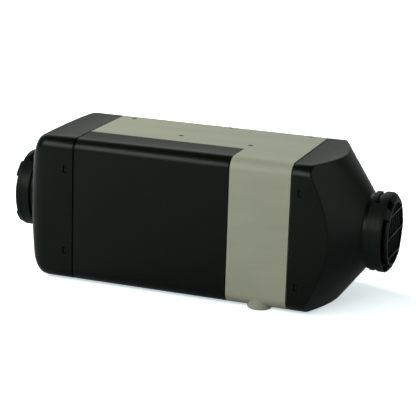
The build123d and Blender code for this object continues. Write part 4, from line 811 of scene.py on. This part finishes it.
def softened_copy(node, width, tool):
    """Copy of a CAD node, cut by a tool unless it is None, with rounded edges and flats shaded flat."""
    same_place, flat = 0.01 * MM, math.radians(0.3)
    bm = bmesh.new()
    bm.from_mesh(frame["nodes"][node].data)
    bmesh.ops.remove_doubles(bm, verts=bm.verts, dist=same_place)
    if tool:
        bm = merged([cut_away(mesh_of(bm), tool)])
        bmesh.ops.remove_doubles(bm, verts=bm.verts, dist=same_place)
    bmesh.ops.dissolve_limit(bm, angle_limit=flat, verts=bm.verts, edges=bm.edges)
    level = ("WEIGHTED_NORMAL", {"keep_sharp": True, "weight": 80})
    return with_modifiers(bm, [bevel(width, 2, 40), level], 60)


def screw_recesses():
    """Round counterbores in the jacket's top, one for each screw."""
    tool = bmesh.new()
    for x, y in SCREW_PLACES:
        middle = Matrix.Translation((x * MM, AXIS_Y + y * MM, JACKET_HIGH.z))
        add_disc(tool, SCREW_RECESS, 2 * SCREW_SINK, middle, 24)
    return tool


# ---------------------------------------------------------------- guards
def guard_point(x, radius, degrees, sign):
    """Point of a guard, degrees above the front; sign -1 is the guard turned to the inlet."""
    angle = math.radians(degrees)
    return Vector((x, AXIS_Y - radius * math.cos(angle), sign * radius * math.sin(angle)))


def add_sector(bm, profile, start, end, sign, step=4.0):
    """Closed piece of revolution between two angles from (x, radius) points; step is in degrees."""
    count = max(2, round(abs(end - start) / step) + 1)
    rings = []
    for i in range(count):
        degrees = start + (end - start) * i / (count - 1)
        rings.append([bm.verts.new(guard_point(x, radius, degrees, sign)) for x, radius in profile])
    bridge(bm, rings)


def add_ring(bm, profile, sign):
    """Closed ring of revolution from (x, radius) points."""
    rings = []
    for degrees in range(0, 360, 3):
        rings.append([bm.verts.new(guard_point(x, radius, degrees, sign)) for x, radius in profile])
    bridge(bm, rings, closed=True)


def sleeve_mesh(guard, start_x, sign, length):
    """A guard's sleeve: slotted skirt, then the full ring, with a pair of L-shaped bayonet slots."""
    slot_from, slot_to, skirt_to = 5.0 * MM, 8.6 * MM, 9.6 * MM  # from the sleeve's open end
    slot_start, entry_start, slot_end = 60, 106, 122  # degrees above the front
    past = 1 * MM
    inner = guard.sleeve - guard.wall
    skirt = guard.sleeve - guard.step
    land = start_x + sign * skirt_to
    end_x = start_x + sign * length
    bm = bmesh.new()
    add_ring(bm, [(start_x, inner), (start_x, skirt), (land, skirt), (land, guard.sleeve),
                  (end_x, guard.sleeve), (end_x, inner)], sign)
    tool = bmesh.new()
    low, high = inner - past, guard.sleeve + past
    slots = [(slot_from, slot_to, slot_start), (-past, slot_from + past, entry_start)]
    for half_turn in (0, 180):
        for slot_low, slot_high, start in slots:
            low_x, high_x = start_x + sign * slot_low, start_x + sign * slot_high
            profile = [(low_x, low), (low_x, high), (high_x, high), (high_x, low)]
            add_sector(tool, profile, half_turn + start, half_turn + slot_end, sign, 2.0)
    bmesh.ops.recalc_face_normals(tool, faces=tool.faces)
    return cut_away(mesh_of(close_up(bm)), tool)


def tabs_bmesh(guard, end_x, face_x, sign, shoulder, tabs):
    """Tabs, given as (angle, width) in degrees, that carry the grille, and the grille's rim.

    The shoulder is the share of a tab's length that runs straight before it leans in to the rim.
    """
    lap, lip = 2 * MM, 1 * MM  # how far a tab reaches into the sleeve and over the rim
    rim_depth, rim_width, soft = 3.0 * MM, 2.6 * MM, 0.6 * MM
    heel = face_x - sign * 2.4 * MM
    outer = guard.sleeve - guard.step
    profile = [
        (end_x - sign * lap, guard.sleeve - guard.wall),
        (end_x - sign * lap, outer),
        (end_x, outer),
        (end_x + sign * shoulder * abs(face_x - end_x), outer),
        (face_x - sign * 0.4 * MM, guard.rim + 1.4 * MM),
        (face_x, guard.rim + soft),
        (face_x, guard.rim - lip),
        (heel, guard.rim - lip),
        (heel, guard.rim + lip),
    ]
    bm = bmesh.new()
    for angle, width in tabs:
        add_sector(bm, profile, angle - width / 2, angle + width / 2, sign)
    rim = [
        (face_x, guard.rim - soft),
        (face_x - sign * soft, guard.rim),
        (face_x - sign * rim_depth, guard.rim),
        (face_x - sign * rim_depth, guard.rim - rim_width),
        (face_x - sign * soft, guard.rim - rim_width),
        (face_x, guard.rim - rim_width + soft),
    ]
    add_ring(bm, rim, sign)
    return close_up(bm)


def start_group(name, sockets):
    """Geometry node group with inputs given as (name, type, default); hands back its tree and inputs."""
    group = bpy.data.node_groups.new(name, "GeometryNodeTree")
    for label, kind, default in sockets:
        socket = group.interface.new_socket(label, in_out="INPUT", socket_type="NodeSocket" + kind)
        if default is not None:
            socket.default_value = default
    group.interface.new_socket("Geometry", in_out="OUTPUT", socket_type="NodeSocketGeometry")
    tree = Tree(group)
    return tree, tree.add("NodeGroupInput").outputs


def end_group(tree, instances, finish):
    """Make a group's instances real, dress them in a finish and hand them out."""
    real = tree.first("GeometryNodeRealizeInstances", {}, {0: instances})
    dressed = tree.first("GeometryNodeSetMaterial", {}, {"Geometry": real, "Material": finish})
    tree.add("NodeGroupOutput", {}, {0: dressed})
    return tree.tree


def grille_tree():
    """Bars side by side inside a circle: a line of points, a bar on each, cut to the chord."""
    tree, given = start_group("Grille bars", [
        ("Bars", "Int", 3),
        ("Pitch", "Float", 8 * MM),
        ("Thickness", "Float", 1.5 * MM),
        ("Depth", "Float", 3 * MM),
        ("Radius", "Float", 31 * MM),
        ("Turn", "Float", 0.0),
        ("Place", "Vector", (0, 0, 0)),
        ("Finish", "Material", None),
    ])
    bars, pitch, radius = (Wire(tree, given[name]) for name in ("Bars", "Pitch", "Radius"))
    start = tree.vector(Z=(bars - 1) * pitch * -0.5)
    line = tree.first("GeometryNodeMeshLine", {"mode": "OFFSET"},
                      {"Count": bars, "Start Location": start, "Offset": tree.vector(Z=pitch)})
    position = tree.first("GeometryNodeInputPosition")
    height = tree.wire("ShaderNodeSeparateXYZ", {}, {0: position}, 2)
    chord = (radius * radius - height * height) ** 0.5 * 2
    size = tree.vector(X=given["Depth"], Y=1.0, Z=given["Thickness"])
    bar = tree.first("GeometryNodeMeshCube", {}, {"Size": size})
    placed = tree.first("GeometryNodeInstanceOnPoints", {},
                        {"Points": line, "Instance": bar, "Scale": tree.vector(X=1.0, Y=chord, Z=1.0)})
    moved = tree.first("GeometryNodeTransform", {}, {
        "Geometry": placed, "Translation": given["Place"], "Rotation": tree.vector(X=given["Turn"])})
    return end_group(tree, moved, given["Finish"])


def grown(group, inputs, seed_mesh=None):
    """Run a geometry node group on its own object and hand back a plain mesh."""
    work = add_object("work", seed_mesh or bpy.data.meshes.new("seed"))
    modifier = work.modifiers.new("Nodes", "NODES")
    modifier.node_group = group
    for item in group.interface.items_tree:
        if item.item_type == "SOCKET" and item.in_out == "INPUT" and item.name in inputs:
            modifier[item.identifier] = inputs[item.name]
    result = applied(work)
    bpy.data.objects.remove(work)
    return result


def merged(meshes):
    """One bmesh from several meshes."""
    bm = bmesh.new()
    for mesh in meshes:
        bm.from_mesh(mesh)
    return bm


def build_guard(guard, name, node, start_x, face_x, length, shoulder, tabs):
    """One finger guard as two pieces: its sleeve, length long, with tabs and rim, and its grille."""
    sign = 1 if face_x > start_x else -1
    end_x = start_x + sign * length
    sleeve_edge, fine_edge = 0.35 * MM, 0.25 * MM
    bar_depth, slat_depth, slat_sunk = 3.0 * MM, 5.6 * MM, 1.4 * MM
    bar_x = face_x - sign * bar_depth / 2
    slat_x = face_x - sign * (slat_sunk + slat_depth / 2)
    sleeve = with_modifiers(merged([sleeve_mesh(guard, start_x, sign, length)]), [bevel(sleeve_edge, 2, 40)])
    ring = with_modifiers(tabs_bmesh(guard, end_x, face_x, sign, shoulder, tabs), [bevel(fine_edge, 2, 50)])
    piece_of_mesh(mesh_of(merged([sleeve, ring])), name + "_ring", "guard_plastic", HEATER, [node])
    group = bpy.data.node_groups.get("Grille bars") or grille_tree()
    shared = {"Radius": guard.rim - 1.8 * MM, "Finish": FINISHES["guard_plastic"]}
    bars = grown(group, {
        "Bars": 3, "Pitch": guard.bar_pitch, "Thickness": 1.5 * MM, "Depth": bar_depth,
        "Place": (bar_x, AXIS_Y, 0), **shared})
    slats = grown(group, {
        "Bars": guard.slats, "Pitch": guard.slat_pitch, "Thickness": 1.2 * MM, "Depth": slat_depth,
        "Turn": math.radians(90), "Place": (slat_x, AXIS_Y, 0), **shared})
    both = with_modifiers(merged([bars, slats]), [bevel(fine_edge, 2, 60)])
    piece_of_mesh(both, name + "_grille", "guard_plastic", HEATER)


# ---------------------------------------------------------------- repeated small parts
def copies_tree():
    """Copies of one shape on points, turned about the air axis step by step if asked."""
    tree, given = start_group("Copies on points", [
        ("Geometry", "Geometry", None), ("Shape", "Object", None), ("Step", "Float", None),
        ("Finish", "Material", None),
    ])
    shape = tree.add("GeometryNodeObjectInfo", {"transform_space": "ORIGINAL"}, {"Object": given["Shape"]})
    turn = tree.vector(X=tree.wire("GeometryNodeInputIndex") * given["Step"])
    placed = tree.first("GeometryNodeInstanceOnPoints", {}, {
        "Points": given["Geometry"], "Instance": shape.outputs["Geometry"], "Rotation": turn})
    return end_group(tree, placed, given["Finish"])


def copied(shape_mesh, points, finish, step=0.0):
    """Plain mesh of a shape repeated on points."""
    shape = add_object("shape", shape_mesh)
    seed = bpy.data.meshes.new("points")
    seed.from_pydata(points, [], [])
    group = bpy.data.node_groups.get("Copies on points") or copies_tree()
    result = grown(group, {"Shape": shape, "Step": step, "Finish": FINISHES[finish]}, seed)
    bpy.data.objects.remove(shape)
    return result


def spun(profile):
    """Closed solid of revolution about its own Z from (radius, z) points that start and end on the axis."""
    segments = 24
    bm = bmesh.new()
    rings = []
    for radius, z in profile[1:-1]:
        ring = []
        for i in range(segments):
            angle = 2 * math.pi * i / segments
            ring.append(bm.verts.new((radius * math.cos(angle), radius * math.sin(angle), z)))
        rings.append(ring)
    bridge(bm, rings, lids=False)
    for ring, (_, z) in ((rings[0], profile[0]), (rings[-1], profile[-1])):
        pole = bm.verts.new((0, 0, z))
        for i in range(segments):
            bm.faces.new((ring[i], ring[(i + 1) % segments], pole))
    return close_up(bm)


def screw_mesh():
    """Small pan-head screw with a cross recess, its head's underside at z = 0."""
    head, tall, flat, brim = 2.7 * MM, 1.2 * MM, 0.6 * MM, 0.35
    shank, length, point = 1.2 * MM, 9.0 * MM, 0.6 * MM
    arm, half, recess = 1.35 * MM, 0.28 * MM, 0.4
    profile = [(0, tall), (flat, tall)]
    for i in range(1, 6):
        rise = math.sin(math.radians(15 * i))
        profile.append((head * (0.5 + 0.5 * rise), tall * (1 - brim * (i / 5) ** 2)))
    profile += [(head, tall * brim), (head * 0.96, 0), (shank, 0), (shank, point - length),
                (shank * 0.4, -length), (0, -length)]
    tool = bmesh.new()
    add_box(tool, (-arm, -half, tall * recess), (arm, half, tall * 2))
    add_box(tool, (-half, -arm, tall * (recess - 0.01)), (half, arm, tall * 2.1))
    return cut_away(mesh_of(spun(profile)), tool)


def stud_mesh(radius, length, root, sunk):
    """Threaded stud along +Y: a plain root sunk below 0, a core with a helical thread, a chamfered end."""
    pitch, depth, chamfer, end_chamfer, lead = 1.0 * MM, 0.45 * MM, 0.3 * MM, 0.6 * MM, 1.2 * MM
    core = radius - depth
    foot = core - 0.1 * MM  # the thread's flanks start inside the core
    flank = 0.42 * pitch
    bm = spun([(0, -sunk), (root - chamfer, -sunk), (root, chamfer - sunk), (root, -chamfer),
               (root - chamfer, 0), (core, 0), (core, length - lead), (core - end_chamfer, length),
               (0, length)])
    per_turn = 20
    steps = per_turn * int((length - 2 * lead) / pitch)
    rings = []
    for i in range(steps + 1):
        angle = 2 * math.pi * i / per_turn
        z = lead + pitch * i / per_turn
        crest = core + depth * min(1.0, i / per_turn, (steps - i) / per_turn)
        way = Vector((math.cos(angle), math.sin(angle), 0))
        rings.append([bm.verts.new(way * out + Vector((0, 0, z + rise)))
                      for out, rise in ((foot, -flank), (crest, 0), (foot, flank))])
    bridge(bm, rings)
    bmesh.ops.recalc_face_normals(bm, faces=bm.faces)
    mesh = mesh_of(bm)
    mesh.transform(Matrix.Rotation(math.radians(-90), 4, "X"))
    return mesh


def blade_mesh(root, tip, front, back):
    """One fan blade: a cambered section that twists from hub to tip, drawn at the top."""
    sections, side_points = 9, 8
    root_pitch, twist = 40, 20  # degrees
    thickness, edge, taper = 1.25 * MM, 0.12 * MM, 0.35
    camber_share, tip_lean = 0.09, 0.10
    middle = (front + back) / 2 + 0.5 * MM
    rows = []
    for i in range(sections):
        share = i / (sections - 1)
        radius = root + (tip - root) * share
        pitch = math.radians(root_pitch + twist * share)
        chord = (back - front) / math.cos(pitch) * (0.80 - 0.06 * share)
        row = []
        for side in (1, -1):
            for j in range(side_points):
                along = j / (side_points - 1)
                along = along if side > 0 else 1 - along
                arch = 4 * along * (1 - along)
                half = thickness * arch ** 0.6 * (1 - taper * share) + edge
                forth = (along - 0.5) * chord
                up = camber_share * chord * arch + side * half
                x = middle + forth * math.cos(pitch) - up * math.sin(pitch)
                sweep = (forth * math.sin(pitch) + up * math.cos(pitch)) / radius + tip_lean * share ** 2
                row.append(Vector((x, radius * math.sin(sweep), radius * math.cos(sweep))))
        rows.append(row)
    return mesh_of(skin(rows, closed=False))


def hub_mesh(radius, front, back):
    """Domed fan hub about the air axis, hollow behind, with a boss for the shaft."""
    length = back - front
    bore, boss, wall, edge = 3.05 * MM, 8 * MM, 3 * MM, 0.5 * MM
    flat, dome, web_rim, web_boss, boss_end = 8.05 * MM, 10 * MM, 12 * MM, 9 * MM, length - 4 * MM
    profile = [(bore, 0)]
    for i in range(8):
        angle = math.radians(90 * i / 7)
        profile.append((flat + (radius - flat) * math.sin(angle), dome * (1 - math.cos(angle))))
    profile += [(radius, length - edge), (radius - edge, length), (radius - wall, length),
                (radius - wall, web_rim), (boss, web_boss), (boss, boss_end), (bore, boss_end)]
    segments = 64
    rings = []
    for i in range(segments):
        angle = 2 * math.pi * i / segments
        way = Vector((math.cos(angle), math.sin(angle)))
        rings.append([at(front + x, way * out) for out, x in profile])
    return mesh_of(skin(rings))


# ---------------------------------------------------------------- operators
class HEATER_OT_cover(bpy.types.Operator):
    """Make the pull-off control cover"""
    bl_idname = "heater.cover"
    bl_label = "Control cover"

    def execute(self, context):
        mesh = cover_mesh(context.scene.heater_casing)
        piece_of_mesh(mesh, "cover_shell", "black_plastic", COVER, ["control_cover"])
        return {"FINISHED"}


class HEATER_OT_cap(bpy.types.Operator):
    """Make the rounded inlet cap with its collar"""
    bl_idname = "heater.cap"
    bl_label = "Inlet cap"

    def execute(self, context):
        mesh = cap_mesh(context.scene.heater_casing)
        piece_of_mesh(mesh, "inlet_cap_shell", "black_plastic", HEATER, ["intake_cap"])
        return {"FINISHED"}


class HEATER_OT_hood(bpy.types.Operator):
    """Make the tapered outlet hood with its collar"""
    bl_idname = "heater.hood"
    bl_label = "Outlet hood"

    def execute(self, context):
        mesh = hood_mesh(context.scene.heater_casing)
        piece_of_mesh(mesh, "outlet_hood_shell", "black_plastic", HEATER, ["outlet_hood"])
        return {"FINISHED"}


class HEATER_OT_jacket(bpy.types.Operator):
    """Make the pale jacket and its back panel"""
    bl_idname = "heater.jacket"
    bl_label = "Jacket"

    def execute(self, context):
        sharper = 0.4  # than the moulded seam edges
        edge = context.scene.heater_casing.edge * sharper
        shells = [("jacket_shell", "jacket", screw_recesses()), ("jacket_back", "back_panel", None)]
        for node, name, tool in shells:
            mesh = softened_copy(node, edge, tool)
            piece_of_mesh(mesh, name, "beige_plastic", HEATER, [node], None)
        return {"FINISHED"}


class HEATER_OT_guards(bpy.types.Operator):
    """Make both finger guards with their grilles"""
    bl_idname = "heater.guards"
    bl_label = "Finger guards"

    def execute(self, context):
        guard = context.scene.heater_guard
        outlet_tabs = [(43, 18), (86, 30), (128, 22), (178, 18), (226, 18), (284, 18)]
        inlet_tabs = [(angle, 26) for angle in (43, 137, 223, 317)]
        build_guard(guard, "outlet_guard", "outlet_guard", OUTLET_LOW.x, OUTLET_HIGH.x,
                    length=16.0 * MM, shoulder=0.2, tabs=outlet_tabs)
        build_guard(guard, "inlet_guard", "intake_guard", INLET_HIGH.x, INLET_LOW.x,
                    length=14.3 * MM, shoulder=0.8, tabs=inlet_tabs)
        return {"FINISHED"}


class HEATER_OT_screws(bpy.types.Operator):
    """Make the small recessed screws in the jacket's top"""
    bl_idname = "heater.screws"
    bl_label = "Jacket screws"

    def execute(self, context):
        points = [(x * MM, AXIS_Y + y * MM, SCREW_SEAT) for x, y in SCREW_PLACES]
        mesh = copied(screw_mesh(), points, "dark_screw")
        piece_of_mesh(mesh, "jacket_screw_set", "dark_screw", HEATER, ["jacket_screws"])
        return {"FINISHED"}


class HEATER_OT_studs(bpy.types.Operator):
    """Make the four threaded mounting studs"""
    bl_idname = "heater.studs"
    bl_label = "Mounting studs"

    def execute(self, context):
        radius, root = 3.0 * MM, 3.3 * MM
        root_end = -2.5 * MM
        xs = (STUDS_LOW.x + root, STUDS_HIGH.x - root)
        zs = (STUDS_LOW.z + root, STUDS_HIGH.z - root)
        points = [(x, root_end, z) for x in xs for z in zs]
        shape = stud_mesh(radius, STUDS_HIGH.y - root_end, root, root_end - STUDS_LOW.y)
        mesh = copied(shape, points, "zinc_steel")
        piece_of_mesh(mesh, "threaded_studs", "zinc_steel", HEATER, ["mounting_studs"])
        return {"FINISHED"}


class HEATER_OT_fan(bpy.types.Operator):
    """Make the air fan: domed hub and twisted blades"""
    bl_idname = "heater.fan"
    bl_label = "Air fan"

    def execute(self, context):
        count, hub, tip = 9, 20.0 * MM, 41.8 * MM
        sunk, inset = 2 * MM, 1 * MM
        blade = blade_mesh(hub - sunk, tip, FAN_LOW.x + inset, FAN_HIGH.x - inset)
        points = [(0, AXIS_Y, 0)] * count
        blades = copied(blade, points, "fan_plastic", 2 * math.pi / count)
        piece_of_mesh(blades, "fan_blades", "fan_plastic", ROTOR)
        mesh = hub_mesh(hub, FAN_LOW.x, FAN_HIGH.x)
        piece_of_mesh(mesh, "fan_hub", "fan_plastic", ROTOR, ["fan_wheel"])
        return {"FINISHED"}


class HEATER_OT_finishes(bpy.types.Operator):
    """Build the finishes and dress every frame node in its own"""
    bl_idname = "heater.finishes"
    bl_label = "Finishes"

    def execute(self, context):
        make_finishes(context.scene.heater_colours)
        for entry in frame["record"]["subparts"]:
            node = frame["nodes"][entry["node"]]
            for slot in node.material_slots:
                slot.material = FINISHES[entry["material_slot"]]
        return {"FINISHED"}


class HEATER_OT_stage(bpy.types.Operator):
    """Set up the floor, the soft light and the camera"""
    bl_idname = "heater.stage"
    bl_label = "Stage"

    def execute(self, context):
        make_floor(context.scene.heater_stage)
        make_world(context.scene)
        make_lamps()
        make_camera(context.scene)
        context.scene.view_settings.view_transform = "Standard"
        return {"FINISHED"}


# ---------------------------------------------------------------- stage
def backdrop_share(tree, gloss):
    """How much of the white backdrop a ray sees: all for the camera and through glass, a share in gloss."""
    path = tree.add("ShaderNodeLightPath").outputs
    direct = Wire(tree, path["Is Camera Ray"]) + Wire(tree, path["Is Transmission Ray"])
    return (direct + Wire(tree, path["Is Glossy Ray"]) * gloss).limited()


def make_floor(stage):
    """White paper that keeps a soft shadow near the heater; away from it the backdrop is plain white."""
    half = 4.0  # metres
    mesh = bpy.data.meshes.new("floor")
    corners = [(x * half, y * half, FLOOR_Z) for x, y in ((-1, -1), (1, -1), (1, 1), (-1, 1))]
    mesh.from_pydata(corners, [], [(0, 1, 2, 3)])
    material = bpy.data.materials.new("White floor")
    material.use_nodes = True
    material.node_tree.nodes.clear()
    tree = Tree(material.node_tree)
    place = tree.add("ShaderNodeTexCoord").outputs["Object"]
    away = tree.wire("ShaderNodeVectorMath", {"operation": "LENGTH"}, {0: place}, "Value")
    glow = ramp(away, start=0.29, slope=1.1, low=0.58, rise=0.6)
    gloss = ramp(away, start=0.4, slope=0.7, low=stage.floor_gloss, rise=0.3)
    paper = tree.first("ShaderNodeBsdfDiffuse", {}, {"Color": (*stage.paper, 1)})
    shadow_paper = tree.first("ShaderNodeBsdfDiffuse", {}, {"Color": (0.95, 0.97, 0.98, 1)})
    light = tree.first("ShaderNodeEmission", {}, {"Color": (0.88, 0.975, 1, 1), "Strength": glow})
    seen = tree.first("ShaderNodeAddShader", {}, {0: shadow_paper, 1: light})
    mix = tree.first("ShaderNodeMixShader", {}, {0: backdrop_share(tree, gloss), 1: paper, 2: seen})
    tree.add("ShaderNodeOutputMaterial", {}, {"Surface": mix})
    mesh.materials.append(material)
    floor = add_object("floor", mesh)


def make_world(scene):
    """White backdrop in a dim room; gloss mirrors it only where it stands, opposite the camera."""
    stage = scene.heater_stage
    world = bpy.data.worlds.new("Studio")
    scene.world = world
    world.use_nodes = True
    world.node_tree.nodes.clear()
    tree = Tree(world.node_tree)
    room = tree.first("ShaderNodeBackground", {}, {"Color": (0.97, 0.985, 1, 1), "Strength": stage.room})
    white = tree.first("ShaderNodeBackground", {}, {"Color": (1, 1, 1, 1), "Strength": 1.0})
    ray = tree.add("ShaderNodeTexCoord").outputs["Generated"]
    middle = (-math.sin(stage.azimuth), math.cos(stage.azimuth), 0)
    facing = tree.wire("ShaderNodeVectorMath", {"operation": "DOT_PRODUCT"}, {0: ray, 1: middle}, "Value")
    edge_hardness = 4.5
    inside = ((facing - math.cos(stage.backdrop_edge)) * edge_hardness).limited()
    share = backdrop_share(tree, inside * stage.room_gloss)
    mix = tree.first("ShaderNodeMixShader", {}, {0: share, 1: room, 2: white})
    tree.add("ShaderNodeOutputWorld", {}, {"Surface": mix})


def make_lamps():
    """Soft lamps: wide at the front left, high on the left, weak on the right, a greenish strip behind."""
    middle, white = (0.02, AXIS_Y, 0), (1, 1, 1)
    # Name, place, size, watts, aim, colour, whether gloss mirrors it
    lamps = [
        ("key", (-0.5, -1.2, 0.75), (1.5, 0.7), 20.5, middle, white, True),
        ("rear", (-1.5, 0.6, 1.0), (0.5, 0.5), 34.0, middle, white, False),
        ("side", (1.3, 0.0, 0.40), (1.8, 0.9), 5.2, (0.12, -0.1, 0), white, True),
        ("back", (-0.45, 1.3, 1.0), (2.2, 0.75), 6.7, middle, (0.93, 1.0, 0.93), True),
    ]
    for name, place, size, power, aim, colour, in_gloss in lamps:
        lamp = bpy.data.lights.new(name, "AREA")
        lamp.color = colour
        lamp.shape = "RECTANGLE"
        lamp.size, lamp.size_y = size
        lamp.energy = power
        holder = add_object(name, lamp)
        holder.location = place
        holder.visible_glossy = in_gloss
        holder.rotation_mode = "QUATERNION"
        holder.rotation_quaternion = (Vector(place) - Vector(aim)).to_track_quat("Z", "Y")


def make_camera(scene):
    """Camera that looks at the target from its azimuth, elevation and distance."""
    stage = scene.heater_stage
    camera = bpy.data.cameras.new("camera")
    camera.sensor_width = 36
    camera.lens = stage.lens
    holder = add_object("camera", camera)
    level = math.cos(stage.elevation)
    back = Vector((math.sin(stage.azimuth) * level, -math.cos(stage.azimuth) * level,
                   math.sin(stage.elevation)))
    holder.location = Vector(stage.target) + back * stage.distance
    holder.rotation_mode = "QUATERNION"
    aim = (-back).to_track_quat("-Z", "Y")
    holder.rotation_quaternion = aim @ Matrix.Rotation(stage.roll, 4, "Z").to_quaternion()
    scene.camera = holder


# ---------------------------------------------------------------- panel and registration
STEPS = [
    HEATER_OT_finishes, HEATER_OT_cover, HEATER_OT_cap, HEATER_OT_hood, HEATER_OT_jacket,
    HEATER_OT_guards, HEATER_OT_screws, HEATER_OT_studs, HEATER_OT_fan, HEATER_OT_stage,
]
SETTINGS = {
    "heater_casing": HEATER_PG_casing,
    "heater_guard": HEATER_PG_guard,
    "heater_colours": HEATER_PG_colours,
    "heater_stage": HEATER_PG_stage,
}


class HEATER_PT_panel(bpy.types.Panel):
    """Lists the heater's pieces"""
    bl_idname = "HEATER_PT_panel"
    bl_label = "Diesel air heater"
    bl_space_type = "VIEW_3D"
    bl_region_type = "UI"
    bl_category = "Heater"

    def draw(self, context):
        for step in STEPS:
            self.layout.operator(step.bl_idname, text=step.bl_label)


def register():
    for settings in SETTINGS.values():
        bpy.utils.register_class(settings)
    for name, settings in SETTINGS.items():
        setattr(bpy.types.Scene, name, bpy.props.PointerProperty(type=settings))
    for step in STEPS:
        bpy.utils.register_class(step)
    bpy.utils.register_class(HEATER_PT_panel)


def unregister():
    bpy.utils.unregister_class(HEATER_PT_panel)
    for step in reversed(STEPS):
        bpy.utils.unregister_class(step)
    for name in SETTINGS:
        delattr(bpy.types.Scene, name)
    for settings in reversed(list(SETTINGS.values())):
        bpy.utils.unregister_class(settings)


def main():
    register()
    for step in STEPS:
        family, name = step.bl_idname.split(".")
        getattr(getattr(bpy.ops, family), name)()


if __name__ == "__main__":
    main()
